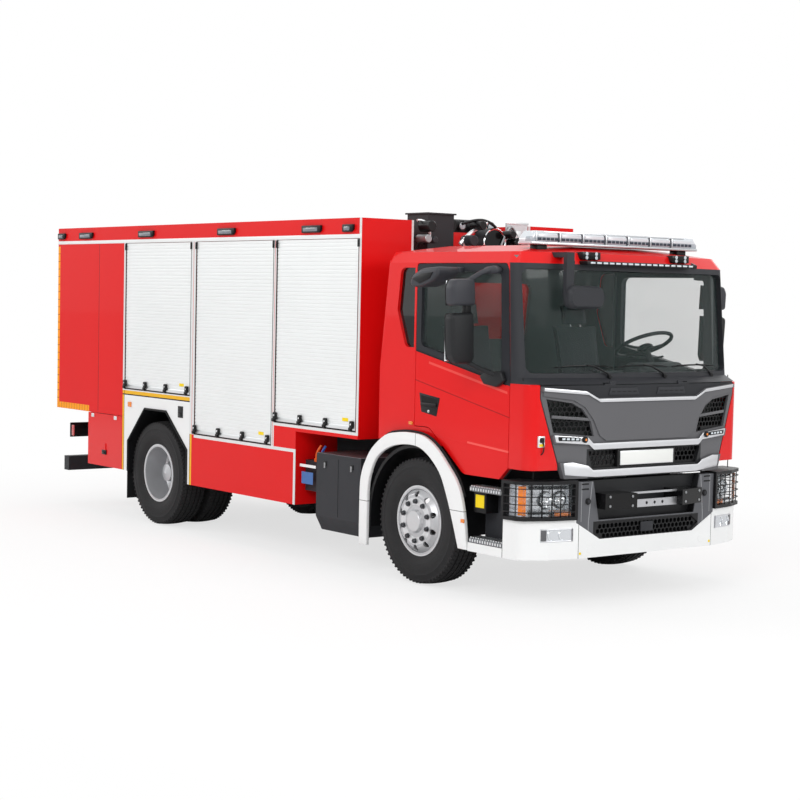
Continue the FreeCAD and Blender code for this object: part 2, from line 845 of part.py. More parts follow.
def rear_rims(name):
    """Two deep rims back to back on one hub."""
    half = s.rim_width / 2
    inner = s.rim_barrel_radius - s.rim_wall
    spacing = s.dual_spacing / 2
    disc_edge = s.hand_hole_circle_radius
    bore = s.spindle_radius + s.bearing_gap
    height = s.tyre_radius
    outer_centre = (-s.wheelbase, -s.rear_tyre_centre, height)
    disc = [(-half, inner), (-spacing, disc_edge + s.rim_wall), (-spacing, s.hub_radius),
            (s.disc_thickness - spacing, s.hub_radius),
            (s.disc_thickness - spacing, disc_edge, s.hand_hole_radius),
            (s.rim_wall - half, inner)]
    loop = [(-y, r) for y, r in barrel_points(half, inner)[:-1]]
    outline = loop + [(-point[0], *point[1:]) for point in disc]
    outer = turned(f"{name}_outer", outline, outer_centre)
    twin = turned(f"{name}_twin", [(-point[0], *point[1:]) for point in outline],
                  (-s.wheelbase, s.dual_spacing - s.rear_tyre_centre, height))
    hub_face = s.disc_thickness - spacing
    hub = turned(f"{name}_hub",
                 [(spacing * 2, bore), (spacing * 2, s.hub_radius), (-hub_face, s.hub_radius),
                  (-hub_face, s.hub_cap_radius + s.hub_cap_height),
                  (-s.hub_cap_height, s.hub_cap_radius),
                  (-s.hub_cap_height * 2, ZERO), (-s.bearing_gap, ZERO), (-s.bearing_gap, bore)],
                 outer_centre)
    nuts = ring_of(f"{name}_nut", NUT_COUNT, s.nut_circle_radius, s.nut_radius,
                   hub_face, hub_face + s.nut_height, outer_centre)
    holes = ring_of(f"{name}_hand_hole", HAND_HOLE_COUNT, s.hand_hole_circle_radius,
                    s.hand_hole_radius, -spacing * 2, -half / 2, outer_centre)
    return fused(name, [cut(f"{name}_pierced", fused(f"{name}_pair", [outer, twin]), holes), hub] + nuts)


def tyre(name, centre):
    half = s.tyre_width / 2
    bead = s.bead_width / 2 - s.rim_wall / 2
    seat = s.rim_barrel_radius + s.body_gap
    lip = s.rim_radius + s.body_gap * 5
    top = s.tyre_radius
    side = [(-bead, seat), (-bead, lip), (-half * SIDEWALL_SHARE, lip + s.rim_wall),
            (-half, (top + seat) / 2, half / 2), (-half * SHOULDER_SHARE, top - s.shoulder_drop,
                                                  s.shoulder_drop),
            (-half * TREAD_SHARE, top - s.tread_crown)]
    outline = side + [(ZERO, top)] + [(-point[0], *point[1:]) for point in reversed(side)]
    return turned(name, outline, centre)


def front_tyre(name):
    return tyre(name, (ZERO, -s.front_tyre_centre, s.tyre_radius))


def rear_tyres(name):
    places = (-s.rear_tyre_centre, s.dual_spacing - s.rear_tyre_centre)
    return group(name, [tyre(f"{name}{number}", (-s.wheelbase, y, s.tyre_radius))
                        for number, y in enumerate(places)])


# Cab: one form lofted through level outlines, made smaller for its inside and its glass

def cab_outline(rear, side, middle, half_width, inset):
    """A level outline of the cab, with round corners and a bowed front."""
    y = half_width - inset
    bow = half_width * CAB_BOW_SHARE
    right = [(inset - rear, -y, s.cab_rear_radius), (side - inset, -y, s.cab_corner_radius),
             (middle - inset, -bow, s.cab_bow_radius)]
    return right + [(point[0], -point[1], *point[2:]) for point in reversed(right)]


def cab_form(name, inset, floor):
    """The cab's outer form, or the same form moved inward by an inset."""
    levels = [(floor, s.cab_rear, s.cab_nose_side, s.cab_nose, s.cab_half_width),
              (s.cab_nose_height - inset / 4, s.cab_rear, s.cab_nose_side, s.cab_nose, s.cab_half_width),
              (s.screen_foot_height - inset / 4, s.cab_rear, s.screen_foot_side, s.screen_foot,
               s.cab_half_width),
              (s.screen_head_height - inset / 2, s.cab_rear_top, s.screen_head_side, s.screen_head,
               s.cab_half_width),
              (s.cab_roof_edge - inset, s.cab_rear_top, s.roof_front_side, s.roof_front,
               s.roof_half_width),
              (s.cab_roof_top - inset, s.cab_rear_top - s.roof_camber_inset,
               s.roof_front_side - s.roof_camber_inset, s.roof_front - s.roof_camber_inset,
               s.roof_half_width - s.roof_camber_inset)]
    sections = []
    for number, (z, rear, side, middle, half_width) in enumerate(levels):
        sketch = doc.addObject("Sketcher::SketchObject", f"{name}_level{number}")
        draw_outline(sketch, cab_outline(rear, side, middle, half_width, inset))
        sections.append(place(sketch, ZERO, ZERO, z))
    form = doc.addObject("Part::Loft", name)
    form.Sections = sections
    form.Solid = True
    form.Ruled = True
    return form


def door_outline(grow):
    """The door's edge seen from the side; growing it gives the opening in the cab."""
    return [(-s.door_rear - grow, s.door_rear_sill - grow),
            (s.door_arch_start - grow, s.door_rear_sill - grow, s.cab_corner_radius),
            (s.door_arch_end + s.door_rear - grow, s.door_sill - grow, s.cab_corner_radius),
            (s.door_front - s.window_frame, s.door_sill - grow),
            (s.door_front_foot + grow, s.corner_panel_foot - grow),
            (s.door_front_foot + grow, s.screen_foot_height),
            (s.door_front + grow, s.screen_head_height - s.cab_roof_top + s.cab_roof_edge),
            (s.door_front + grow - s.window_frame / 2, s.door_top + grow, s.window_frame / 2),
            (-s.door_rear - grow, s.door_top + grow, s.window_frame / 2)]


def window_outline(grow):
    """The door's glass, lower at the front."""
    belt = s.door_window_bottom + s.door_window_rear_drop
    return [(s.window_frame - s.door_rear - grow, belt - grow, s.window_frame),
            (s.door_front - s.window_frame + grow, s.door_window_bottom - grow, s.window_frame),
            (s.door_front - s.window_frame + grow - s.window_frame / 2,
             s.door_top - s.window_frame + grow, s.window_frame),
            (s.window_frame - s.door_rear - grow, s.door_top - s.window_frame + grow, s.window_frame)]


def quarter_outline(grow):
    front = -s.door_rear - s.window_frame / 2 + grow
    top = s.door_top - s.window_frame / 2 + grow
    return [(front, s.quarter_bottom - grow), (front, top),
            (-s.quarter_rear - grow, top, s.window_frame),
            (-s.quarter_rear - s.quarter_bulge - grow, s.quarter_waist, s.window_frame),
            (-s.quarter_rear + s.door_rear - grow, s.quarter_bottom - grow, s.window_frame)]


def across(name, outline, beyond):
    """A cutter that runs through both sides of the cab."""
    return prism(name, "XZ", outline, -beyond, beyond)


def screen_outline(grow):
    y = s.screen_half_width + grow
    return [(-y, s.screen_bottom - grow, s.window_frame), (y, s.screen_bottom - grow, s.window_frame),
            (y, s.screen_top + grow, s.window_frame), (-y, s.screen_top + grow, s.window_frame)]


def rear_window_outline(grow):
    y = s.rear_window_half_width + grow
    return [(-y, s.rear_window_bottom - grow, s.window_frame),
            (y, s.rear_window_bottom - grow, s.window_frame),
            (y, s.rear_window_top + grow, s.window_frame), (-y, s.rear_window_top + grow, s.window_frame)]


def grille_outline(grow):
    """The front panel between the bumper and the windscreen, wider at its top."""
    top, foot = s.grille_half_width + grow, s.grille_foot_half_width + grow
    shoulder = s.grille_top - s.grille_shoulder_drop
    return [(-foot, s.grille_bottom - grow), (foot, s.grille_bottom - grow), (top, shoulder),
            (top, s.grille_top + grow), (-top, s.grille_top + grow), (-top, shoulder)]


def cab():
    wide = s.cab_half_width + s.cab_wall
    ahead = s.bumper_front + s.cab_wall
    half_glass = s.glass_thickness / 2
    outer = cab_form("cab_outer", ZERO, s.door_sill - s.cab_wall)
    inner = cab_form("cab_inner", s.cab_wall, s.door_sill - s.cab_wall * 2)
    wall = cut("cab_wall_form", outer, inner)
    sill_ledge = [(-s.cab_rear - s.cab_wall, s.door_sill - s.cab_wall * 2),
                  (ahead, s.door_sill - s.cab_wall * 2), (ahead, s.corner_panel_foot),
                  (s.door_front_foot, s.corner_panel_foot), (s.door_front_foot, s.cab_floor),
                  (-s.cab_rear - s.cab_wall, s.cab_floor)]
    floor = shared("cab_floor_form", [inner, block("cab_floor_slab", (-s.cab_rear, s.cab_nose),
                                                   (-wide, wide),
                                                   (s.cab_floor, s.cab_floor + s.cab_floor_thickness))])
    surround_zone = prism("surround_zone", "XZ",
                          [(s.door_front_foot + s.door_gap, s.cab_nose_height + s.door_gap),
                           (ahead, s.cab_nose_height + s.door_gap), (ahead, s.screen_head_height),
                           (s.door_front + s.door_gap, s.screen_head_height),
                           (s.door_front_foot + s.door_gap, s.screen_foot_height)], -wide, wide)
    screen = prism("screen_hole", "YZ", screen_outline(ZERO), ZERO, ahead)
    grille_zone = prism("grille_zone", "YZ", grille_outline(s.hatch_gap), s.cab_nose_side - s.cab_wall * 2,
                        ahead)
    openings = [across("door_hole", door_outline(s.door_gap), wide),
                across("quarter_hole", quarter_outline(ZERO), wide),
                prism("rear_window_hole", "YZ", rear_window_outline(ZERO), -ahead, -s.cab_rear_top / 2)]
    walls = cut("cab_walls", wall, [across("sill_cut", sill_ledge, wide), surround_zone, grille_zone]
                + openings)
    hinges = []
    for number, z in enumerate((s.hinge_low, s.hinge_high)):
        hinge = block(f"door_hinge{number}",
                      (s.door_front_foot + s.body_gap, s.door_front_foot + s.window_frame),
                      (s.cab_wall / 4 - s.cab_half_width, s.cab_wall * 3 / 4 - s.cab_half_width),
                      (z, z + s.hinge_height))
        hinges += [hinge, mirrored(f"door_hinge{number}_left", hinge)]
    sub_part("cab_shell", fused("cab_shell_form", [walls, floor] + hinges))
    surround = cut("surround_form", shared("surround_ring", [wall, surround_zone]), screen)
    barrel_end = s.hatch_hinge_centre + s.hatch_barrel_length
    notch = block("hatch_notch", (s.cab_nose - s.cab_wall * 2, ahead),
                  (s.hatch_hinge_centre - s.body_gap, barrel_end + s.knuckle_gap),
                  (s.cab_nose_height, s.cab_nose_height + s.grille_gap + s.hatch_pin_radius + s.knuckle_gap))
    leaf = block("hatch_leaf", (s.cab_nose - s.hatch_pin_radius * 2, s.cab_nose - s.hatch_pin_radius),
                 (s.hatch_hinge_centre - s.hatch_barrel_length, s.hatch_hinge_centre - s.body_gap),
                 (s.cab_nose_height + s.grille_gap, s.cab_nose_height + s.cab_wall / 2))
    knuckles = hatch_barrels("hatch_knuckle", -s.hatch_barrel_length, -s.body_gap, s.hatch_pin_radius)
    notched = cut("surround_notched", surround, [notch, mirrored("hatch_notch_left", notch)])
    sub_part("window_surround", fused("surround_whole",
                                      [notched, leaf, mirrored("hatch_leaf_left", leaf)] + knuckles))
    pane_outer = cab_form("pane_outer", s.cab_wall / 2 - half_glass, s.door_sill)
    pane_inner = cab_form("pane_inner", s.cab_wall / 2 + half_glass, s.door_sill)
    pane = cut("pane_form", pane_outer, pane_inner)
    panes = [shared("screen_pane", [pane, prism("screen_pane_edge", "YZ", screen_outline(-s.body_gap),
                                                ZERO, ahead)]),
             shared("quarter_panes", [pane, across("quarter_pane_edge", quarter_outline(-s.body_gap), wide)]),
             shared("rear_pane", [pane, prism("rear_pane_edge", "YZ", rear_window_outline(-s.body_gap),
                                              -ahead, -s.cab_rear_top / 2)])]
    sub_part("cab_glass", panes)
    right_half = block("right_half", (-ahead, ahead), (-wide, -s.seat_width), (ZERO, s.cab_roof_top))

    def door(name):
        leaf = shared(f"{name}_leaf", [wall, prism(f"{name}_edge", "XZ", door_outline(ZERO), -wide,
                                                   -s.seat_width)])
        return cut(name, leaf, prism(f"{name}_window", "XZ", window_outline(ZERO), -wide, ZERO))

    def door_glass(name):
        return shared(name, [pane, right_half,
                             prism(f"{name}_edge", "XZ", window_outline(-s.body_gap), -wide, ZERO)])

    sided("door", door)
    sided("door_glass", door_glass)
    grille(outer, ahead)


# Front end

GUARD_ROWS = 4
GUARD_COLUMNS = 5
LAMP_CUP_SHARE = 0.72
SIDE_MESH_SHARES = ((0.890, 0.497), (0.603, 0.459), (0.534, 0.449), (0.566, 0.605), (0.639, 0.741),
                    (0.731, 0.810), (0.955, 0.857))
PLATE_MESH_SHARES = ((0.548, 0.105), (0.585, 0.293))
MIDDLE_PANEL_SHARES = ((0.420, 0.397), (0.484, 0.456), (0.548, 0.626), (0.630, 0.769), (0.731, 0.844),
                       (0.985, 0.891), (0.985, 0.982), (0.626, 0.939), (0.511, 0.857))
BAND_SHARES = (((0.495, 0.816), (0.610, 0.898), (1.0, 0.941), (1.0, 0.982), (0.626, 0.939), (0.511, 0.857)),
               ((0.548, 0.306), (0.594, 0.361), (1.0, 0.395), (1.0, 0.476), (0.603, 0.442), (0.553, 0.377)),
               ((0.548, 0.0), (1.0, 0.0), (1.0, 0.173), (0.731, 0.180), (0.594, 0.136), (0.548, 0.088)))


def hatch_barrels(name, start, end, radius):
    """Barrels on the front panel's hinge line, one each side, measured out from the hinges' middles."""
    right = rod(name, "Y", (s.cab_nose - s.hatch_pin_radius, -s.hatch_hinge_centre - end,
                            s.cab_nose_height + s.grille_gap), radius, end - start)
    return [right, mirrored(f"{name}_left", right)]


def panel_points(shares):
    """Places on the front panel, from shares of its half width and its height, for both sides."""
    height = s.grille_top - s.grille_bottom
    right = [(-s.grille_half_width * across_share, s.grille_bottom + height * up_share)
             for across_share, up_share in shares]
    return right + [(-y, z) for y, z in reversed(right)]


def one_side(shares):
    return panel_points(shares)[:len(shares)]


def on_panel(name, outlines, height, ahead):
    """Raised forms that follow the bowed front panel."""
    proud = cab_form(f"{name}_form", -height, s.door_sill - s.cab_wall)
    edge = prism(f"{name}_panel", "YZ", grille_outline(ZERO), s.cab_nose_side - s.cab_wall * 2, ahead)
    zone = group(f"{name}_zones", [prism(f"{name}_zone{number}", "YZ", outline,
                                         s.cab_nose_side - s.cab_wall * 2, ahead)
                                   for number, outline in enumerate(outlines)])
    return cut(name, shared(f"{name}_block", [proud, edge, zone]), doc.getObject("cab_outer"))


def inside_by(outline, spot, inset):
    """Whether a place lies inside an outline and at least an inset from its edges."""
    corners = [FreeCAD.Vector(Length.of(p[0]).value, Length.of(p[1]).value, 0) for p in outline]
    turns = []
    for near, far in zip(corners, corners[1:] + corners[:1]):
        along = (far - near).normalize()
        turns.append(along.cross(spot - near).z)
    return min(turns) >= inset or max(turns) <= -inset


def hexagons(name, outline, start, depth):
    """Hexagonal cutters in a honeycomb over an outline, each square to the front."""
    cell = s.mesh_cell
    across_pitch, up_pitch = cell * round(math.sqrt(3), 6), cell * 1.5
    lows = [min(Length.of(p[axis]).value for p in outline) for axis in (0, 1)]
    highs = [max(Length.of(p[axis]).value for p in outline) for axis in (0, 1)]
    middle_y = across_pitch * round((lows[0] + highs[0]) / 2 / across_pitch.value)
    middle_z = s.grille_bottom + up_pitch * round(((lows[1] + highs[1]) / 2 - s.grille_bottom.value)
                                                  / up_pitch.value)
    reach_y = math.ceil((highs[0] - lows[0]) / across_pitch.value)
    reach_z = math.ceil((highs[1] - lows[1]) / up_pitch.value)
    cutters = []
    for row in range(-reach_z, reach_z + 1):
        for column in range(-reach_y, reach_y + 1):
            y = middle_y + across_pitch * (column + 0.5 * (row % 2))
            z = middle_z + up_pitch * row
            if not inside_by(outline, FreeCAD.Vector(y.value, z.value, 0), s.mesh_hole_inset.value):
                continue
            hexagon = doc.addObject("Part::Prism", f"{name}_{len(cutters)}")
            hexagon.Polygon = 6
            hexagon.setExpression("Circumradius", (cell - s.mesh_web / round(math.sqrt(3), 6)).text)
            hexagon.setExpression("Height", depth.text)
            hexagon.Placement.Rotation = FreeCAD.Rotation(AXES["Z"], AXES["X"])
            cutters.append(place(hexagon, start, y, z))
    return cutters


def grille(outer, ahead):
    """The hinged front panel: skin, raised middle, bands and the honeycomb behind its openings."""
    behind = s.cab_nose_side - s.cab_wall * 2
    panel_zone = prism("panel_zone", "YZ", grille_outline(ZERO), behind, ahead)
    panel = cut("grille_solid", shared("grille_block", [outer, panel_zone]),
                cab_form("hatch_inner", s.hatch_wall, s.door_sill - s.cab_wall))
    side_mesh = one_side(SIDE_MESH_SHARES)
    openings = [side_mesh, [(-y, z) for y, z in side_mesh], panel_points(PLATE_MESH_SHARES)]
    holes = [prism(f"mesh_hole{number}", "YZ", outline, behind, ahead) for number,
             outline in enumerate(openings)]
    room = hatch_barrels("hatch_room", -s.hatch_barrel_length - s.body_gap, s.body_gap / 2,
                         s.hatch_pin_radius + s.body_gap)
    barrels = hatch_barrels("hatch_barrel", ZERO, s.hatch_barrel_length, s.hatch_pin_radius)
    middle = on_panel("raised_middle", [panel_points(MIDDLE_PANEL_SHARES)], s.panel_height, ahead)
    bands = on_panel("silver_bands", [panel_points(shares) for shares in BAND_SHARES], s.band_height, ahead)
    sub_part("grille_panel", fused("grille_whole", [cut("grille_form", panel, holes + room), middle, bands]
                                   + barrels))
    mesh_front = s.hatch_wall + s.body_gap
    mesh_wall = cut("mesh_wall", cab_form("mesh_outer", mesh_front, s.door_sill),
                    cab_form("mesh_inner", mesh_front + s.mesh_thickness, s.door_sill))
    meshes = []
    for number, outline in enumerate(openings):
        edge = prism(f"mesh_edge{number}", "YZ", outline_grown(outline, s.mesh_lap), behind, ahead)
        plate = shared(f"mesh_plate{number}", [mesh_wall, edge])
        meshes.append(cut(f"mesh_piece{number}", plate,
                          hexagons(f"mesh_cell{number}", outline, behind, ahead - behind)))
    sub_part("mesh_grilles", meshes)


def outline_grown(outline, lap):
    """An outline with its corners moved out from its middle by a lap each way."""
    middle = []
    for axis in (0, 1):
        values = [Length.of(point[axis]).value for point in outline]
        middle.append((min(values) + max(values)) / 2)
    grown = []
    for y, z in outline:
        out = lap if Length.of(y).value > middle[0] else -lap
        up = lap if Length.of(z).value > middle[1] else -lap
        grown.append((y + out, z + up))
    return grown


def bumper_plan(inset, rear):
    """The bumper's level outline, wrapped round to its sides."""
    right = [(rear, -(s.bumper_half_width - inset)),
             (s.bumper_corner - inset, -(s.bumper_half_width - inset), s.cab_corner_radius),
             (s.bumper_shoulder - inset, -s.bumper_shoulder_half_width, s.cab_corner_radius),
             (s.bumper_front - inset, -s.bumper_flat_half_width, s.cab_corner_radius)]
    return right + [(point[0], -point[1], *point[2:]) for point in reversed(right)]


def bumper_ring(name, thickness, low, high, rear):
    outer = prism(f"{name}_outer", "XY", bumper_plan(ZERO, rear), low, high)
    inner = prism(f"{name}_inner", "XY", bumper_plan(thickness, rear - thickness),
                  low - thickness, high + thickness)
    return cut(name, outer, inner)


def centre_outline(grow):
    """The grey middle of the bumper seen from the front, narrowing to the foot of its mesh."""
    half, foot = s.centre_bumper_half_width + grow, s.centre_bumper_foot_half_width + grow
    right = [(-foot, s.centre_bumper_bottom - grow), (-half, s.centre_bumper_knee - grow),
             (-half, s.centre_bumper_top)]
    return right + [(-y, z) for y, z in reversed(right)]


def recess_outline():
    right = [(-s.bumper_recess_foot_half_width, s.bumper_recess_bottom),
             (-s.bumper_recess_half_width, s.centre_bumper_top + s.bumper_wall)]
    return right + [(-y, z) for y, z in reversed(right)]


def lower_mesh_outline():
    narrow, wide = s.centre_bumper_foot_half_width - s.mesh_lap, s.lower_mesh_half_width
    middle = (s.lower_mesh_bottom + s.lower_mesh_top) / 2
    right = [(-narrow, s.lower_mesh_bottom), (-wide, middle), (-narrow, s.lower_mesh_top)]
    return right + [(-y, z) for y, z in reversed(right)]


def bumper_shell(name, near, far, low, high):
    """A thin shell along the bumper's face, between two insets."""
    outer = prism(f"{name}_outer", "XY", bumper_plan(near, s.step_front), low, high)
    inner = prism(f"{name}_inner", "XY", bumper_plan(far, s.step_front - s.bumper_wall),
                  low - s.bumper_wall, high + s.bumper_wall)
    return cut(name, outer, inner)


def headlamp(name):
    """The right headlamp: a wrapped housing, an open bowl with its reflectors, and a wire guard."""
    low, high, border = s.lamp_bottom, s.lamp_top, s.lamp_border
    ahead, wide = s.bumper_front * 2, s.bumper_half_width * 2
    side = block(f"{name}_side", (s.step_front, ahead), (-wide, -s.lamp_inner), (ZERO, s.cab_roof_top))
    housing = shared(f"{name}_housing",
                     [bumper_ring(f"{name}_ring", s.lamp_depth, low, high, s.step_front), side])
    bowl_shell = bumper_shell(f"{name}_bowl_shell", -s.bumper_wall, s.lamp_bowl_depth, low + border,
                              high - border)
    bowl = shared(f"{name}_bowl", [bowl_shell, block(f"{name}_bowl_side", (s.step_front + border, ahead),
                                                     (-wide, -s.lamp_inner - border), (ZERO,
                                                                                       s.cab_roof_top))])
    rail, wire, out = s.guard_rail, s.guard_wire, -s.guard_stand_off
    cups = [turned_ahead(f"{name}_cup{number}", y) for number, y in
            enumerate((s.lamp_inner + border + s.lamp_bowl_radius,
                       s.lamp_inner + border + s.lamp_bowl_radius * 3 + wire))]
    frame = fused(f"{name}_rails",
                  [block(f"{name}_rail_low", (s.step_front, ahead), (-wide, ZERO), (low, low + rail)),
                   block(f"{name}_rail_high", (s.step_front, ahead), (-wide, ZERO), (high - rail, high)),
                   block(f"{name}_rail_inner", (s.step_front, ahead),
                         (-s.lamp_inner - rail, -s.lamp_inner), (low, high)),
                   block(f"{name}_rail_outer", (s.step_front, s.step_front + rail),
                         (-wide, -s.lamp_inner), (low, high))])
    wires = []
    for number in range(GUARD_ROWS):
        z = low + (high - low) * ((number + 1) / (GUARD_ROWS + 1))
        wires.append(block(f"{name}_row{number}", (s.step_front, ahead), (-wide, ZERO), (z, z + wire)))
    for number in range(GUARD_COLUMNS):
        y = s.lamp_inner + (s.bumper_half_width - s.lamp_inner) * ((number + 1) / (GUARD_COLUMNS + 1))
        wires.append(block(f"{name}_column{number}", (s.step_front, ahead),
                           (-y - wire / 2, wire / 2 - y), (low, high)))
    guard = [shared(f"{name}_frame",
                    [bumper_shell(f"{name}_frame_shell", out, s.guard_lap, low, high), side, frame]),
             shared(f"{name}_grid", [bumper_shell(f"{name}_grid_shell", out, out + wire, low, high), side,
                                     fused(f"{name}_wires", wires)])]
    return fused(name, [cut(f"{name}_open", housing, [bowl] + cups)] + guard)


def turned_ahead(name, y):
    """A round reflector cup behind the lamp's bowl."""
    return rod(name, "X",
               (s.bumper_shoulder - s.lamp_depth * LAMP_CUP_SHARE, -y, (s.lamp_bottom + s.lamp_top) / 2),
               s.lamp_bowl_radius, s.lamp_depth)


def front_end():
    """The white bumper, its grey middle, the hitch, the headlamps and the fog lamps."""
    ahead = s.bumper_front * 2
    ring = bumper_ring("bumper_ring", s.bumper_wall, s.bumper_bottom, s.bumper_top, s.fender_front)
    step_bay = across("step_bay",
                      [(ZERO, s.step_lower - s.step_tread), (s.step_front, s.step_lower - s.step_tread),
                       (s.step_front, s.bumper_top * 2), (ZERO, s.bumper_top * 2)], s.bumper_half_width * 2)
    dip = prism("bumper_dip", "YZ", centre_outline(s.body_gap), ZERO, ahead)
    fog_bays, fogs = [], []
    for number, side in enumerate((-1, 1)):
        low, high = sorted((s.fog_inner * side, s.fog_outer * side), key=lambda y: y.value)
        fog_bays.append(block(f"fog_bay{number}", (s.step_front, ahead), (low, high),
                              (s.fog_bottom, s.fog_top)))
        fogs.append(block(f"fog_slot{number}", (s.step_front, ahead), (low + s.body_gap, high - s.body_gap),
                          (s.fog_bottom + s.body_gap, s.fog_top - s.body_gap)))
    sub_part("lower_bumper", cut("lower_bumper_form", ring, [step_bay, dip] + fog_bays))
    centre = prism("centre_solid", "XY", bumper_plan(s.grille_gap, s.bumper_front - s.centre_bumper_depth),
                   s.centre_bumper_bottom, s.centre_bumper_top)
    face = s.bumper_front - s.grille_gap
    trim = prism("centre_trim", "YZ", centre_outline(ZERO), ZERO, ahead)
    recess = prism("bumper_recess", "YZ", recess_outline(), face - s.bumper_recess_depth, ahead)
    mesh_bed = prism("lower_mesh_bed", "YZ", lower_mesh_outline(), face - s.lower_mesh_depth, ahead)
    cells = hexagons("lower_cell", lower_mesh_outline(), face - s.lower_mesh_depth - s.lower_mesh_hole_depth,
                     s.lower_mesh_hole_depth + s.lower_mesh_depth)
    sub_part("centre_bumper", cut("centre_form", shared("centre_block", [centre, trim]),
                                  [recess, fused("lower_mesh_room", [mesh_bed] + cells)]))
    root = face - s.bumper_recess_depth + s.body_gap
    bracket = prism("bracket_right", "XY",
                    [(root, -s.bracket_outer), (root, -s.bracket_inner),
                     (s.bracket_nose, -s.bracket_inner), (s.bracket_front, -s.bracket_outer)],
                    s.bracket_bottom, s.bracket_top)
    middle_height = (s.bracket_bottom + s.bracket_top) / 2
    plate = block("hitch_plate", (s.bracket_front - s.hitch_plate_thickness, s.bracket_front),
                  (-s.bracket_inner, s.bracket_inner), (s.bracket_bottom, middle_height))
    lintel = block("hitch_lintel", (s.bracket_front - s.hitch_plate_thickness, s.bracket_front),
                   (-s.bracket_inner, s.bracket_inner), (s.bracket_top - s.hitch_plate_thickness,
                                                         s.bracket_top))
    holes = [rod(f"hitch_hole{number}", "X", (s.bumper_front, s.hitch_hole_pitch * number,
                                              (s.bracket_bottom + middle_height) / 2),
                 s.hitch_hole_radius, s.bracket_front - s.bumper_front + s.bumper_wall)
             for number in (-1, 0, 1)]
    hitch = fused("hitch_solid", [bracket, mirrored("bracket_left", bracket), plate, lintel])
    sub_part("front_hitch", cut("hitch_form", hitch, holes))
    fog_ring = bumper_ring("fog_ring", s.bumper_wall, s.bumper_bottom, s.bumper_top, s.step_front)
    lamps = list(both_sides("headlamp", headlamp))
    lamps += [shared(f"fog_lamp{number}", [fog_ring, slot]) for number, slot in enumerate(fogs)]
    sub_part("front_lamps", lamps)


def fender_outline(band):
    """The side view of the wheel arch: its outer edge, or its inner edge a band inside."""
    rear, front, top = -s.fender_rear + band, s.fender_front - band, s.fender_top - band
    radius = s.tyre_radius / 2
    return [(rear, top - s.tyre_radius * ARCH_REAR_SHARE, radius),
            (rear + s.tyre_radius * ARCH_LEAN_SHARE, top, radius / 2),
            (front - s.tyre_radius, top, radius),
            (front - s.tyre_radius * ARCH_LEAN_SHARE / 2, top - s.tyre_radius * ARCH_FRONT_SHARE, radius)]


def arch_band(name, band, low, high, rear_foot, front_foot):
    outer = fender_outline(ZERO)
    inner = fender_outline(band)
    outline = ([(-s.fender_rear, rear_foot)] + outer + [(s.fender_front, front_foot)]
               + [(s.fender_front - band, front_foot)] + inner[::-1] + [(band - s.fender_rear, rear_foot)])
    return prism(name, "XZ", outline, low, high)


def fenders():
    def fender(name):
        return arch_band(name, s.fender_band, -s.fender_half_width, -s.fender_inner_half_width,
                         s.fender_leg_bottom, s.bumper_bottom)
    def liner(name):
        reach, wall, centre = s.liner_clearance, s.liner_wall, s.tyre_radius
        outer = reach + wall
        outline = [(-outer, s.side_box_crease), (-outer, centre + outer, outer * LINER_ROUND_SHARE),
                   (outer, centre + outer, outer * LINER_ROUND_SHARE), (outer, s.step_lower),
                   (reach, s.step_lower), (reach, centre + reach, reach * LINER_ROUND_SHARE),
                   (-reach, centre + reach, reach * LINER_ROUND_SHARE), (-reach, s.side_box_crease)]
        return prism(name, "XZ", outline, -s.fender_inner_half_width, -s.liner_inner_half_width)

    sides = [fused(f"fender_side{number}", list(pair))
             for number, pair in enumerate(zip(both_sides("fender", fender), both_sides("liner", liner)))]
    sub_part("front_fenders", sides)

    def step(name):
        face, inner = s.step_half_width, s.step_inner_half_width
        depth = s.step_tread * 5
        outline = [(-inner, s.step_lower - s.step_tread), (-face, s.step_lower - s.step_tread),
                   (-face, s.step_lower), (depth - face, s.step_lower), (depth - face,
                                                                         s.step_upper - s.step_tread),
                   (s.step_tread - face, s.step_upper - s.step_tread), (s.step_tread - face, s.step_upper),
                   (-inner, s.step_upper)]
        return prism(name, "YZ", outline, s.fender_front, s.step_front)
    right, left = both_sides("cab_step", step)
    sub_part("cab_steps", [right, left])


# Inside the cab

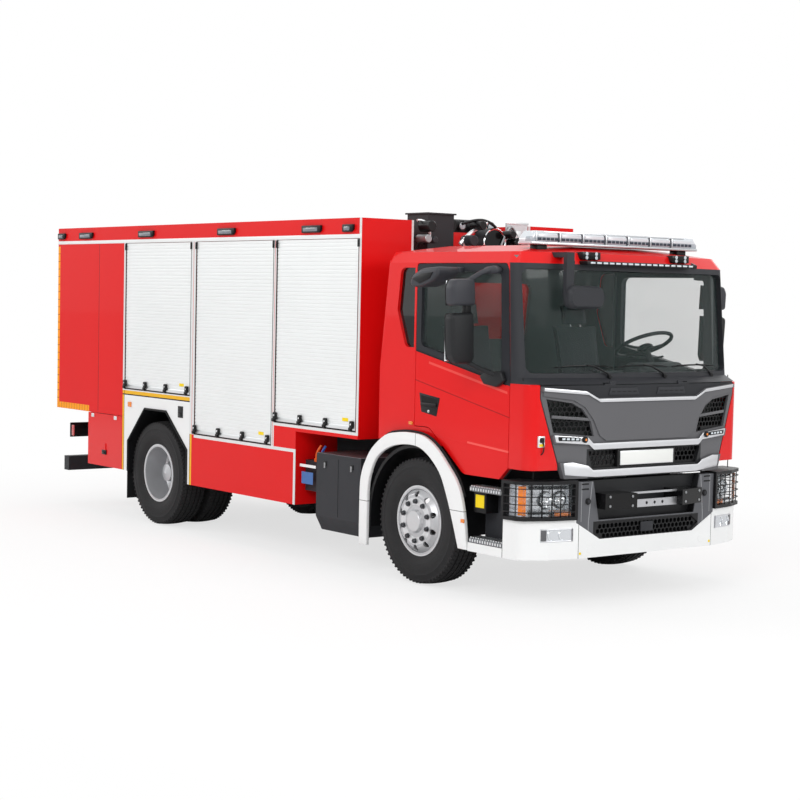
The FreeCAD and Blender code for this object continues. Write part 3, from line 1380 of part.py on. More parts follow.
def interior():
    floor = s.cab_floor + s.cab_floor_thickness
    dash_half = s.cab_half_width - s.cab_wall * 2
    dash = prism("dash_form", "XZ",
                 [(s.dash_rear, s.dash_bottom), (s.cab_nose_side - s.cab_wall * 4, floor),
                  (s.cab_nose_side - s.cab_wall * 2, floor),
                  (s.screen_foot_side - s.cab_wall, s.dash_top), (s.dash_rear + s.cab_wall, s.dash_top,
                                                                  s.cab_wall)],
                 -dash_half, dash_half)
    column = rod("steering_column", "X", (s.steering_wheel_x, s.seat_centre, s.dash_top - s.cab_wall),
                 s.spindle_radius, s.dash_rear - s.steering_wheel_x + s.cab_wall * 2)
    stem = rod("steering_stem", "Z", (s.steering_wheel_x, s.seat_centre, s.dash_top - s.cab_wall),
               s.tie_rod_radius, s.steering_wheel_height - s.dash_top + s.cab_wall)
    ring = doc.addObject("Part::Torus", "steering_ring")
    ring.setExpression("Radius1", s.wheel_ring_radius.text)
    ring.setExpression("Radius2", s.wheel_rim_radius.text)
    place(ring, s.steering_wheel_x, s.seat_centre, s.steering_wheel_height)
    spoke = s.wheel_rim_radius
    spokes = [block("wheel_spoke_along", (s.steering_wheel_x - s.wheel_ring_radius, s.steering_wheel_x),
                    (s.seat_centre - spoke, s.seat_centre + spoke),
                    (s.steering_wheel_height - spoke, s.steering_wheel_height)),
              block("wheel_spoke_across", (s.steering_wheel_x - spoke, s.steering_wheel_x + spoke),
                    (s.seat_centre - s.wheel_ring_radius, s.seat_centre + s.wheel_ring_radius),
                    (s.steering_wheel_height - spoke, s.steering_wheel_height))]
    hub = rod("wheel_hub", "Z", (s.steering_wheel_x, s.seat_centre, s.steering_wheel_height - spoke * 2),
              s.spindle_radius, spoke * 3)
    sub_part("dashboard", fused("dashboard_form", [dash, column, stem, ring, hub] + spokes))
    seats = []
    for number, y in enumerate((-s.seat_centre, s.seat_centre)):
        half = s.seat_width / 2
        rear = s.seat_front - s.seat_depth
        base = block(f"seat_base{number}", (rear + s.seat_pad, s.seat_front - s.seat_pad),
                     (y - half + s.seat_pad, y + half - s.seat_pad), (floor, s.seat_height - s.seat_pad))
        cushion = prism(f"seat_cushion{number}", "XZ",
                        [(rear, s.seat_height - s.seat_pad, s.window_frame / 2),
                         (s.seat_front, s.seat_height - s.seat_pad, s.window_frame / 2),
                         (s.seat_front, s.seat_height, s.window_frame / 2),
                         (rear, s.seat_height, s.window_frame / 2)], y - half, y + half)
        back = prism(f"seat_back{number}", "XZ",
                     [(rear - s.seat_pad, s.seat_height - s.seat_pad, s.window_frame / 2),
                      (rear + s.window_frame / 2, s.seat_height - s.seat_pad, s.window_frame / 2),
                      (rear - s.seat_pad, s.seat_back_top, s.window_frame / 2),
                      (rear - s.seat_pad * 2, s.seat_back_top, s.window_frame / 2)], y - half, y + half)
        seats.append(fused(f"seat{number}", [base, cushion, back]))
    sub_part("cab_seats", seats)


# Locker body

def locker_outline():
    """The body's side: the floor steps down for the middle bay and over the rear wheels."""
    return [(-s.body_rear, s.flap_top), (-s.flap_rear, s.flap_top), (-s.flap_rear, s.flap_bottom),
            (-s.arch_rear, s.flap_bottom), (-s.arch_rear, s.arch_shoulder),
            (-s.arch_flat_rear, s.arch_top), (-s.arch_flat_front, s.arch_top),
            (-s.arch_front, s.arch_shoulder), (-s.arch_front, s.skirt_bottom),
            (-s.skirt_front, s.skirt_bottom), (-s.skirt_front, s.body_floor),
            (-s.body_front, s.body_floor), (-s.body_front, s.body_top), (-s.body_rear, s.body_top)]


def bays():
    """The three shutter openings: rear end, front end and sill."""
    return ((s.bay_one_rear, s.bay_one_front, s.bay_one_sill),
            (s.bay_two_rear, s.bay_two_front, s.bay_two_sill),
            (s.bay_three_rear, s.bay_three_front, s.bay_three_sill))


def locker_side(name):
    outer = -s.body_half_width
    beyond = outer - s.body_wall
    wall = s.body_wall
    skin = prism(f"{name}_skin", "XZ", locker_outline(), outer, -s.locker_inner)
    rooms = []
    for number, (rear, front, sill) in enumerate(bays()):
        rooms.append(block(f"{name}_bay{number}", (-rear, -front), (beyond, -s.locker_inner - wall),
                           (sill, s.trim_height)))
    rooms.append(block(f"{name}_tail_room", (wall - s.body_rear, -s.flap_front),
                       (outer + wall, -s.locker_inner - wall), (s.flap_top + wall, s.trim_height)))
    rooms.append(block(f"{name}_flap_room", (wall - s.flap_rear, -s.flap_front - wall),
                       (beyond, -s.flap_locker_inner), (s.flap_bottom + wall, s.flap_top - wall)))
    rooms.append(block(f"{name}_flap_seat", (-s.flap_rear - wall, -s.flap_front),
                       (beyond, outer + s.flap_thickness + s.door_gap), (s.flap_bottom - wall, s.flap_top)))
    rooms.append(block(f"{name}_skirt_room", (wall - s.arch_front, -s.skirt_front - wall),
                       (outer + wall, -s.skirt_inner), (s.skirt_bottom - wall, s.bay_two_sill - wall)))
    rooms.append(block(f"{name}_under_room", (-s.body_rear - wall, -s.skirt_front + wall),
                       (-s.skirt_inner, ZERO), (ZERO, s.body_floor)))
    return cut(name, skin, rooms)


def superstructure():
    inner, wall = s.locker_inner, s.body_wall
    spine = [block("body_floor_plate", (-s.body_rear, -s.body_front), (-inner, inner),
                   (s.body_floor, s.body_floor + wall)),
             block("deck_plate", (-s.body_rear, -s.body_front), (-inner, inner),
                   (s.deck_height - wall, s.deck_height)),
             block("deck_panel", (wall + s.deck_margin - s.body_rear,
                                  -s.mast_pivot_x - s.mast_arm_radius - s.deck_margin),
                   (s.deck_margin - inner, inner - s.deck_margin), (s.deck_height,
                                                                    s.deck_height + s.deck_tread)),
             block("front_bulkhead", (-s.body_front - wall, -s.body_front), (-inner, inner),
                   (s.body_floor, s.deck_height)),
             cut("tail_frame", block("tail_wall", (-s.body_rear, wall - s.body_rear), (-inner, inner),
                                     (s.body_floor, s.body_top)),
                 block("tail_opening", (-s.body_rear - wall, wall * 2 - s.body_rear),
                       (-s.rear_shutter_half_width, s.rear_shutter_half_width),
                       (s.rear_shutter_bottom, s.rear_shutter_top)))]
    for number, side in enumerate((-1, 1)):
        low, high = sorted(((s.frame_half_width - s.rail_flange) * side, s.frame_half_width * side),
                           key=lambda y: y.value)
        spine.append(block(f"subframe{number}", (-s.body_rear + wall, -s.body_front - wall), (low, high),
                           (s.rail_bottom + s.rail_height, s.body_floor)))
    hinges = []
    for number, x in enumerate((s.flap_hinge_rear, s.flap_hinge_front)):
        hinge = block(f"flap_hinge{number}", (-x - s.hinge_height / 2, -x + s.hinge_height / 2),
                      (s.shutter_inset - s.body_half_width,
                       s.flap_thickness - s.shutter_inset - s.body_half_width),
                      (s.flap_top - s.door_gap + s.body_gap, s.flap_top + s.body_wall))
        hinges.append(hinge)
    right = fused("locker_right_form", [locker_side("locker_side")] + hinges)
    sub_part("lockers_right", right)
    sub_part("lockers_left", mirrored("locker_left_form", right))
    sub_part("body_core", fused("body_core_form", spine))
    slabs = []
    for number, (rear, front, sill) in enumerate(bays()):
        outer = s.shutter_inset - s.body_half_width
        right = block(f"shutter{number}", (-rear, -front), (outer, outer + s.shutter_thickness),
                      (sill, s.trim_height))
        slabs += [right, mirrored(f"shutter{number}_left", right)]
    slabs.append(block("rear_shutter", (s.shutter_inset - s.body_rear,
                                        s.shutter_inset + s.shutter_thickness - s.body_rear),
                       (-s.rear_shutter_half_width, s.rear_shutter_half_width),
                       (s.rear_shutter_bottom, s.rear_shutter_top)))
    sub_part("roller_shutters", slabs)

    def flap(name):
        gap = s.door_gap
        leaf = block(f"{name}_leaf", (gap - s.flap_rear, -s.flap_front - gap),
                     (-s.body_half_width, s.flap_thickness - s.body_half_width),
                     (s.flap_bottom, s.flap_top - gap))
        grip = block(f"{name}_grip", ((-s.flap_rear - s.flap_front) / 2 - s.window_frame / 2,
                                      (-s.flap_rear - s.flap_front) / 2 + s.window_frame / 2),
                     (-s.body_half_width - s.shutter_inset, -s.body_half_width),
                     (s.flap_bottom + s.window_frame * 2, s.flap_bottom + s.window_frame * 4))
        return fused(name, [leaf, grip])

    sided("locker_flap", flap)


# Boxes, lamps and guards of the chassis

def chassis_boxes():
    outer, inner = s.side_box_outer, s.side_box_inner
    battery = prism("battery_box", "YZ",
                    [(-inner, s.side_box_top), (-outer, s.side_box_top), (-outer, s.side_box_crease),
                     (s.side_box_tuck - outer, s.side_box_bottom), (-inner, s.side_box_bottom)],
                    -s.side_box_rear, -s.side_box_front)
    small = block("filter_box", (-s.small_box_rear, -s.side_box_rear), (-outer + s.side_box_tuck, -inner),
                  (s.small_box_bottom, s.small_box_top))
    arms = block("box_arm", (-s.side_box_rear, -s.side_box_front), (-inner, -s.frame_half_width),
                 (s.rail_bottom, s.rail_bottom + s.rail_flange))
    right = fused("side_box_form", [battery, small, arms])
    corner = s.side_box_tuck
    tank = prism("tank_form", "YZ",
                 [(inner, s.side_box_top, corner), (outer, s.side_box_top, corner),
                  (outer, s.side_box_bottom, corner), (inner, s.side_box_bottom, corner)],
                 -s.small_box_rear, -s.side_box_front)
    strap = block("tank_arm", (-s.side_box_rear, -s.side_box_front),
                  (s.frame_half_width, inner), (s.rail_bottom, s.rail_bottom + s.rail_flange))
    sub_part("chassis_boxes", [right, fused("fuel_tank_form", [tank, strap])])


def tail():
    x = -s.underrun_rear
    beam = block("underrun_bar", (x, x + s.underrun_depth), (-s.underrun_half_width, s.underrun_half_width),
                 (s.underrun_bottom, s.underrun_top))
    posts = []
    for number, side in enumerate((-1, 1)):
        low, high = sorted(((s.frame_half_width - s.rail_flange) * side, s.frame_half_width * side),
                           key=lambda y: y.value)
        posts.append(block(f"underrun_post{number}", (x, s.rail_flange - s.frame_rear), (low, high),
                           (s.underrun_bottom, s.rail_bottom)))
    sub_part("underrun_beam", fused("underrun_form", [beam] + posts))
    lamps = []
    for number, side in enumerate((-1, 1)):
        low, high = sorted((s.tail_inner * side, s.tail_outer * side), key=lambda y: y.value)
        lamps.append(block(f"tail_lamp{number}", (-s.body_rear, s.tail_depth - s.body_rear), (low, high),
                           (s.tail_bottom, s.tail_top)))
        lamps.append(block(f"tail_stay{number}",
                           (s.tail_depth / 3 - s.body_rear, s.tail_depth * 2 / 3 - s.body_rear),
                           (low + s.tail_depth, high - s.tail_depth), (s.tail_top, s.flap_top)))
    scene_lamps([fused(f"tail_lamp_form{number}", lamps[2 * number:2 * number + 2]) for number in range(2)])
    flaps = []
    for number, side in enumerate((-1, 1)):
        low, high = sorted((s.mudflap_inner * side, s.mudflap_outer * side), key=lambda y: y.value)
        x = -s.wheelbase - s.mudflap_behind
        flaps.append(block(f"mudflap{number}", (x - s.mudflap_thickness, x), (low, high),
                           (s.mudflap_bottom, s.flap_bottom)))
    sub_part("mudflaps", flaps)
    parts = []
    x = -s.body_rear - s.ladder_stand_off + s.ladder_rail_radius
    for number, y in enumerate((s.ladder_inner, s.ladder_outer)):
        parts.append(rod(f"ladder_rail{number}", "Z", (x, y, s.flap_top), s.ladder_rail_radius,
                         s.body_top - s.flap_top))
        for end, z in enumerate((s.flap_top + s.ladder_stand_off, s.body_top - s.ladder_stand_off)):
            parts.append(rod(f"ladder_foot{number}_{end}", "X", (x, y, z), s.ladder_rail_radius / 2,
                             -x - s.body_rear))
    for number in range(LADDER_RUNGS):
        z = s.flap_top + (s.body_top - s.flap_top) * ((number + 1) / (LADDER_RUNGS + 1))
        parts.append(rod(f"ladder_rung{number}", "Y", (x, s.ladder_inner, z),
                         s.ladder_rail_radius * RUNG_SHARE,
                         s.ladder_outer - s.ladder_inner))
    sub_part("rear_ladder", fused("ladder_form", parts))


def capped(name, outline_of, start, depth, tuck):
    """A lofted head: a flat back, its full outline, and a front drawn in by a tuck."""
    sections = []
    levels = ((start, -tuck / 3), (start + depth / 4, ZERO),
              (start + depth * MIRROR_SWELL_SHARE, -tuck / 4), (start + depth, -tuck))
    for number, (x, grow) in enumerate(levels):
        sketch = doc.addObject("Sketcher::SketchObject", f"{name}_section{number}")
        draw_outline(sketch, outline_of(grow))
        sketch.Placement.Rotation = FreeCAD.Rotation(FreeCAD.Vector(1, 1, 1), 120)
        sections.append(place(sketch, x))
    form = doc.addObject("Part::Loft", name)
    form.Sections = sections
    form.Solid = True
    form.Ruled = True
    return form


def rounded_outline(low_y, high_y, low_z, high_z, corner):
    """A maker of rounded rectangles that grow or shrink evenly."""
    def outline(grow):
        return [(low_y - grow, low_z - grow, corner), (high_y + grow, low_z - grow, corner),
                (high_y + grow, high_z + grow, corner), (low_y - grow, high_z + grow, corner)]
    return outline


def cab_fittings():
    def mirrors(name):
        corner, radius = s.mirror_corner, s.mirror_arm_radius
        parts = []
        for number, (low, high) in enumerate(((s.mirror_lower_bottom, s.mirror_lower_top),
                                              (s.mirror_upper_bottom, s.mirror_upper_top))):
            parts.append(capped(f"{name}_head{number}",
                                rounded_outline(-s.mirror_outer, -s.mirror_inner, low, high, corner),
                                s.mirror_rear, s.mirror_depth, s.mirror_tuck))
        x, y = s.mirror_rear + s.mirror_depth / 2, -s.mirror_inner - corner
        top = s.door_top - s.window_frame / 2
        parts.append(rod(f"{name}_post", "Z", (x, y, s.door_window_bottom), radius,
                         top - s.door_window_bottom))
        seat = s.door_front - s.window_frame / 2
        for number, z in enumerate((s.door_window_bottom, top)):
            parts.append(prism(f"{name}_arm{number}", "XY",
                               [(x - radius, y), (x + radius, y), (seat + radius, -s.cab_half_width),
                                (seat - radius, -s.cab_half_width)], z - radius, z + radius))
        return parts

    right = mirrors("mirror")
    kerb = prism("kerb_mirror", "YZ",
                 [(-s.kerb_mirror_outer, s.kerb_mirror_bottom, s.mirror_corner),
                  (-s.kerb_mirror_inner, s.kerb_mirror_bottom, s.mirror_corner),
                  (-s.kerb_mirror_inner, s.kerb_mirror_top),
                  (-s.kerb_mirror_outer, s.kerb_mirror_top, s.mirror_corner * 2)],
                 s.kerb_mirror_rear, s.kerb_mirror_front)
    kerb_arm = block("kerb_arm", (s.kerb_mirror_front - s.mirror_corner * 2, s.kerb_mirror_front),
                     (-s.kerb_mirror_inner, -s.cab_half_width),
                     (s.kerb_mirror_top - s.mirror_arm_radius * 2, s.kerb_mirror_top))
    sub_part("mirrors_right", fused("mirrors_right_form", right + [kerb, kerb_arm]))
    sub_part("mirrors_left", mirrored("mirrors_left_form", fused("mirrors_pair", right)))
    shell = doc.getObject("cab_outer")
    head = capped("front_mirror_head",
                  rounded_outline(-s.front_mirror_outer, -s.front_mirror_inner, s.front_mirror_bottom,
                                  s.front_mirror_top, s.mirror_corner * MIRROR_CORNER_SHARE),
                  s.front_mirror_rear, s.front_mirror_depth, s.mirror_tuck)
    arm_y = (-s.front_mirror_outer, -s.front_mirror_outer + s.mirror_corner * 2)
    hanger = block("front_mirror_arm", (s.front_mirror_rear, s.front_mirror_rear + s.mirror_corner), arm_y,
                   (s.front_mirror_top - s.mirror_corner * 2, s.cab_roof_edge))
    reach = block("front_mirror_reach", (s.roof_front_side, s.front_mirror_rear), arm_y,
                  (s.cab_roof_edge - s.mirror_corner, s.cab_roof_edge))
    sub_part("front_mirror",
             cut("front_mirror_form", fused("front_mirror_solid", [head, hanger, reach]), shell))
    half = s.light_bar_half_width
    plinth_top = s.light_bar_bottom + s.light_bar_plinth
    plinth = block("light_bar_plinth_form", (s.light_bar_rear, s.light_bar_front), (-half, half),
                   (s.light_bar_bottom, plinth_top))
    lens = prism("light_bar_lens", "XZ",
                 [(s.light_bar_rear, plinth_top), (s.light_bar_front, plinth_top),
                  (s.light_bar_front, s.light_bar_top, s.mirror_corner),
                  (s.light_bar_rear, s.light_bar_top, s.mirror_corner)], -half, half)
    grooves = []
    for number in range(1, LIGHT_BAR_CELLS):
        y = half * (2 * number / LIGHT_BAR_CELLS - 1)
        grooves.append(block(f"light_bar_groove{number}",
                             (s.light_bar_rear - s.mirror_corner, s.light_bar_front * 2),
                             (y - s.light_bar_gap / 2, y + s.light_bar_gap / 2),
                             (plinth_top + s.light_bar_gap, s.light_bar_top * 2)))
    ends = prism("light_bar_ends", "YZ",
                 [(-half, s.light_bar_bottom), (half, s.light_bar_bottom), (half, plinth_top),
                  (half - s.light_bar_slope, s.light_bar_top), (s.light_bar_slope - half, s.light_bar_top),
                  (-half, plinth_top)], ZERO, s.bumper_front)
    bar = shared("light_bar_form",
                 [cut("light_bar_cells", fused("light_bar_block", [plinth, lens]), grooves), ends])
    feet = [block(f"light_bar_foot{number}",
                  (s.light_bar_rear + s.mirror_corner, s.light_bar_front - s.mirror_corner),
                  (y - s.mirror_corner, y + s.mirror_corner),
                  (s.cab_roof_edge - s.mirror_corner, s.light_bar_bottom))
            for number, y in enumerate((-s.seat_centre, s.seat_centre))]
    light_bar = cut("light_bar_whole", fused("light_bar_solid", [bar] + feet), shell)
    strip = block("work_bar", (s.screen_head_side, s.screen_head + s.mirror_corner * 2),
                  (-s.work_bar_half_width, s.work_bar_half_width),
                  (s.work_bar_height - s.mirror_arm_radius, s.work_bar_height + s.mirror_arm_radius))
    lamps = []
    for number, side in enumerate((-1, 1)):
        low, high = sorted((s.work_lamp_inner * side, s.work_lamp_outer * side), key=lambda y: y.value)
        lamps.append(block(f"work_lamp{number}", (s.screen_head_side, s.work_lamp_front), (low, high),
                           (s.work_lamp_bottom, s.work_lamp_top)))
        lamps.append(block(f"work_lamp_stay{number}", (s.screen_head_side, s.screen_head + s.mirror_corner),
                           (low + s.mirror_corner, high - s.mirror_corner), (s.work_bar_height,
                                                                             s.work_lamp_bottom)))
    sub_part("cab_lights",
             [light_bar, cut("work_lamps_form", fused("work_lamps_solid", [strip] + lamps), shell)])


def roof_gear():
    deck, front = s.deck_height, -s.body_front
    x = -s.gear_box_x
    locker = block("gear_box", (x - s.gear_box_half_width, x + s.gear_box_half_width),
                   (-s.gear_box_centre - s.gear_box_half_width, s.gear_box_half_width - s.gear_box_centre),
                   (deck, s.gear_box_top))
    lid = block("gear_box_cover",
                (x - s.gear_box_half_width - s.gear_box_lip, x + s.gear_box_half_width + s.gear_box_lip),
                (-s.gear_box_centre - s.gear_box_half_width - s.gear_box_lip,
                 s.gear_box_half_width + s.gear_box_lip - s.gear_box_centre),
                (s.gear_box_top - s.gear_box_lid, s.gear_box_top))
    horn = rod("horn_drum", "X", (front - s.horn_length, s.horn_centre, s.horn_height), s.horn_radius,
               s.horn_length)
    foot = block("horn_foot", (front - s.horn_length, front),
                 (s.horn_centre - s.mirror_corner, s.horn_centre + s.mirror_corner), (deck, s.horn_height))
    plate = block("gear_plate", (front - s.gear_plate_thickness, front),
                  (s.gear_plate_inner, s.gear_plate_outer - s.body_wall),
                  (deck, s.gear_plate_top))
    pivot_x, pivot_z = -s.mast_pivot_x, s.mast_pivot_height
    cheek = s.mast_arm_radius + s.knuckle_gap
    post = []
    for number, side in enumerate((-1, 1)):
        low, high = sorted(((cheek + s.knuckle_thickness) * side, cheek * side), key=lambda y: y.value)
        post.append(block(f"mast_cheek{number}", (pivot_x - s.mast_arm_radius, pivot_x + s.mast_arm_radius),
                          (s.mast_y + low, s.mast_y + high), (deck, pivot_z + s.mast_arm_radius)))
    post.append(rod("mast_pin", "Y", (pivot_x, s.mast_y - cheek - s.knuckle_thickness, pivot_z),
                    s.ball_pin_radius, (cheek + s.knuckle_thickness) * 2))
    sub_part("roof_gear", [fused("gear_box_whole", [locker, lid]), fused("horn_form", [horn, foot]), plate,
                           fused("mast_foot_form", post)])
    arm = rod("mast_arm", "X", (pivot_x, s.mast_y, pivot_z), s.mast_arm_radius,
              s.mast_pivot_x - s.mast_head_x)
    eye = rod("mast_eye", "Y", (pivot_x, s.mast_y - s.mast_arm_radius, pivot_z), s.mast_arm_radius,
              s.mast_arm_radius * 2)
    head = rod("mast_head", "Y", (-s.mast_head_x, s.mast_y - s.mast_head_half_width / 2, pivot_z),
               s.mast_head_radius, s.mast_head_half_width)
    bore = rod("mast_bore", "Y", (pivot_x, s.mast_y - cheek, pivot_z), s.ball_pin_radius + s.bearing_gap,
               cheek * 2)
    sub_part("light_mast", cut("light_mast_form", fused("mast_solid", [arm, eye, head]), bore))


def scene_lamps(lamps):
    """Flood lamps on the band above the shutters, with the tail lamps."""
    half = s.scene_lamp_length / 2
    for number, x in enumerate((s.scene_lamp_one, s.scene_lamp_two, s.scene_lamp_three, s.scene_lamp_four)):
        right = block(f"scene_lamp{number}", (-x - half, -x + half),
                      (-s.body_half_width - s.shutter_inset, -s.body_half_width),
                      (s.scene_lamp_bottom, s.scene_lamp_bottom + s.scene_lamp_height))
        lamps += [right, mirrored(f"scene_lamp{number}_left", right)]
    sub_part("body_lamps", lamps)


chassis()
front_axle()
rear_axle()
sided("knuckle", knuckle)
tie_rod()
sided("front_rim", front_rim)
sided("front_tyre", front_tyre)
sided("rear_rims", rear_rims)
sided("rear_tyres", rear_tyres)
cab()
front_end()
fenders()
interior()
superstructure()
chassis_boxes()
tail()
cab_fittings()
roof_gear()


doc.recompute()
faults = [item.Name for item in doc.Objects if {"Invalid", "Error"} & set(item.State)]
for label, item in sub_parts.items():
    if item.Shape.isNull() or not item.Shape.isValid() or not item.Shape.Solids:
        faults.append(label)
if faults:
    raise RuntimeError(f"These objects failed: {faults}")
for label, item in sub_parts.items():
    item.Shape.exportStep(f"parts/{label}.step")
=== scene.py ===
import math

import bmesh
import bpy
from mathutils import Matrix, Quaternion, Vector


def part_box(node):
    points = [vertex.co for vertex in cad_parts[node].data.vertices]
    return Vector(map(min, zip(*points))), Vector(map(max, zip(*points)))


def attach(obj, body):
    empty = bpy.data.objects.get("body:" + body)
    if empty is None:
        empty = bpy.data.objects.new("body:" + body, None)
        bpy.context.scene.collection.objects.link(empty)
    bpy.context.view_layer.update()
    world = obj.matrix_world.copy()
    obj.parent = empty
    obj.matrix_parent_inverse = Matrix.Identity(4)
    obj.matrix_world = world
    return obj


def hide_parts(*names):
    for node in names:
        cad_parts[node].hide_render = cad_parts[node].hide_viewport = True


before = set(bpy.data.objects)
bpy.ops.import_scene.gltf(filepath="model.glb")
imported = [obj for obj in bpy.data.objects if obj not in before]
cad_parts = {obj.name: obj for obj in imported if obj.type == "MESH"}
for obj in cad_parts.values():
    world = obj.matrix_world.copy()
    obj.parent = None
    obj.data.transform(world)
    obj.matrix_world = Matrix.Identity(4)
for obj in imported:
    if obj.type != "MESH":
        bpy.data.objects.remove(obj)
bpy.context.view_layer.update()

# Places count from the front axle: ahead, to the left and up, in metres.
low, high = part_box("front_rim_right")
AXLE = (low.x + high.x) / 2

REAR_AXLE, BETWEEN_AXLES = -4.35, -2.0
WHEEL_HEIGHT = 0.536
# The belt line of the doors: its height over the front axle and its fall ahead of it.
BELT_HEIGHT, BELT_FALL = 1.952, 0.1984
BODY_HALF = 1.25
BODY_FRONT, BODY_REAR = -0.8, -6.555
TRIM_LOW, TRIM_HIGH = 2.912, 2.948
# The rear edge, the front edge and the sill of each shutter bay.
BAYS = ((-4.995, -3.647, 1.373), (-3.562, -2.166, 0.996), (-2.122, -0.83, 1.219))
# The rear edge, the front edge and the top of the white panel over the rear wheels.
ARCH_PANEL = (-5.03, -3.605, 1.361)
FLAP_REAR = -5.806
SIDES = ((-1, "right"), (1, "left"))


# Finishes

def rgb(red, green, blue):
    """A colour as it is seen, 0 to 255, made linear."""
    def linear(level):
        share = level / 255
        return share / 12.92 if share <= 0.04045 else ((share + 0.055) / 1.055) ** 2.4
    return (linear(red), linear(green), linear(blue), 1.0)


RED = rgb(224, 14, 16)
WHITE = rgb(238, 239, 239)
PILLAR_WHITE = rgb(224, 226, 226)
DARK_GREY = rgb(46, 47, 51)
BLACK = rgb(16, 16, 18)
GRILLE_GREY = rgb(98, 98, 101)
BARE_METAL = rgb(150, 152, 154)
CHASSIS_GREY = rgb(44, 45, 48)
# The colour of the painted highlights on the doors.
PAINTED_HIGHLIGHT = rgb(255, 120, 110)
PEEL_SCALE = 70.0


def maths(operation, swapped=False):
    """An operator of Signal that adds one Math node."""
    def method(self, other=0.0):
        first, second = (other, self) if swapped else (self, other)
        return self.finish.node("Math", {"operation": operation}, {0: first, 1: second})
    return method


class Signal:
    """A number that varies over a surface: a sum on it adds its Math node."""

    def __init__(self, finish, socket):
        self.finish = finish
        self.socket = socket

    __add__ = __radd__ = maths("ADD")
    __sub__ = maths("SUBTRACT")
    __rsub__ = maths("SUBTRACT", swapped=True)
    __mul__ = __rmul__ = maths("MULTIPLY")
    __truediv__ = maths("DIVIDE")
    __gt__ = maths("GREATER_THAN")
    __lt__ = maths("LESS_THAN")
    __or__ = maths("MAXIMUM")
    __mod__ = maths("FLOORED_MODULO")
    __abs__ = maths("ABSOLUTE")
    root = maths("SQRT")
    angle = maths("ARCTAN2")

    def clamped(self):
        return self.finish.node("Math", {"operation": "ADD", "use_clamp": True}, {0: self, 1: 0.0})

    def within(self, low, high):
        return (self > low) * (self < high)

    def near(self, middle, half):
        return abs(self - middle) < half


class Nodes:
    """The nodes of a material or of the world."""

    def __init__(self, owner):
        owner.use_nodes = True
        self.tree = owner.node_tree

    def feed(self, socket, value):
        if isinstance(value, Signal):
            self.tree.links.new(value.socket, socket)
        else:
            socket.default_value = value

    def node(self, kind, settings=(), sockets=(), output=0):
        made = self.tree.nodes.new("ShaderNode" + kind)
        for name, value in dict(settings).items():
            setattr(made, name, value)
        for name, value in dict(sockets).items():
            self.feed(made.inputs[name], value)
        return Signal(self, made.outputs[output])

    def ray(self, kind):
        """One on the rays of a kind and nothing on the others."""
        return self.node("LightPath", output=f"Is {kind} Ray")


class Finish(Nodes):
    """A material whose colour, gloss and relief come from its own nodes."""

    def __init__(self, name, colour, roughness=0.5, metallic=0.0, coat=0.0, **constants):
        self.material = bpy.data.materials.new(name)
        super().__init__(self.material)
        self.shader = self.tree.nodes["Principled BSDF"]
        self.place = self.node("TexCoord", output="Object")
        parts = self.node("SeparateXYZ", sockets={0: self.place}).socket.node.outputs
        self.x = Signal(self, parts[0]) - AXLE
        self.y = Signal(self, parts[1])
        self.z = Signal(self, parts[2])
        self.set("Base Color", colour)
        self.set("Roughness", roughness)
        self.set("Metallic", metallic)
        self.set("Coat Weight", coat)
        for socket, value in constants.items():
            self.set(socket.replace("_", " "), value)

    def set(self, socket, value):
        self.feed(self.shader.inputs[socket], value)

    def noise(self, scale, detail=2.0, stretch=(1, 1, 1)):
        place = self.node("VectorMath", {"operation": "MULTIPLY"}, {0: self.place, 1: stretch})
        return self.node("TexNoise", sockets={"Vector": place, "Scale": scale, "Detail": detail})

    def mix(self, mask, under, over, blend="MIX"):
        settings = {"data_type": "RGBA", "blend_type": blend}
        return self.node("Mix", settings, {0: mask, 6: under, 7: over}, output=2)

    def layers(self, colour, *layers):
        for mask, over in layers:
            colour = self.mix(mask, colour, over)
        self.set("Base Color", colour)

    def bump(self, height, distance, strength=1.0):
        sockets = {"Height": height, "Distance": distance, "Strength": strength}
        self.set("Normal", self.node("Bump", sockets=sockets, output="Normal"))

    def peel(self):
        """The faint orange peel of a sprayed panel."""
        return self.noise(PEEL_SCALE) * 0.1


def shade(finish, colour, amount, scale=1.5):
    """The colour with a soft drift of its brightness over the surface."""
    drift = finish.noise(scale, 3.0) * (2 * amount) + (1 - amount)
    grey = finish.node("CombineColor", sockets={0: drift, 1: drift, 2: drift})
    return finish.mix(1.0, colour, grey, "MULTIPLY")


def paint(name, colour, coat=0.45):
    """Coach paint under clear lacquer."""
    finish = Finish(name, colour, 0.42, coat=coat, Coat_Roughness=0.03, Specular_IOR_Level=0.12)
    finish.layers(shade(finish, colour, 0.03))
    finish.bump(finish.noise(PEEL_SCALE), 0.0006, 0.12)
    return finish


def moulded(name, colour, roughness=0.55, depth=0.0006):
    """Moulded plastic with a fine leathery grain."""
    finish = Finish(name, colour, roughness, Specular_IOR_Level=0.25)
    finish.layers(shade(finish, colour, 0.08, 4.0))
    finish.set("Roughness", finish.noise(6.0, 3.0) * 0.16 + (roughness - 0.08))
    finish.bump(finish.noise(420.0, 3.0), depth, 0.35)
    return finish


def metal(name, colour, roughness=0.3, brushed=(1, 1, 1)):
    """Bare or plated metal with a light brushed drift."""
    finish = Finish(name, colour, roughness, metallic=1.0)
    lines = finish.noise(90.0, 3.0, brushed)
    finish.layers(shade(finish, colour, 0.05, 3.0))
    finish.set("Roughness", lines * 0.18 + (roughness - 0.09))
    finish.bump(lines, 0.0004, 0.15)
    return finish


def anodised():
    """Pale anodised slats: a soft sheen with faint rolling lines along them."""
    colour = rgb(236, 238, 238)
    finish = Finish("shutter_silver", colour, 0.42, metallic=0.25)
    lines = finish.noise(60.0, 3.0, (0.03, 0.03, 30))
    finish.layers(shade(finish, colour, 0.025, 2.0))
    finish.set("Roughness", lines * 0.16 + 0.34)
    finish.bump(lines, 0.0003, 0.12)
    return finish


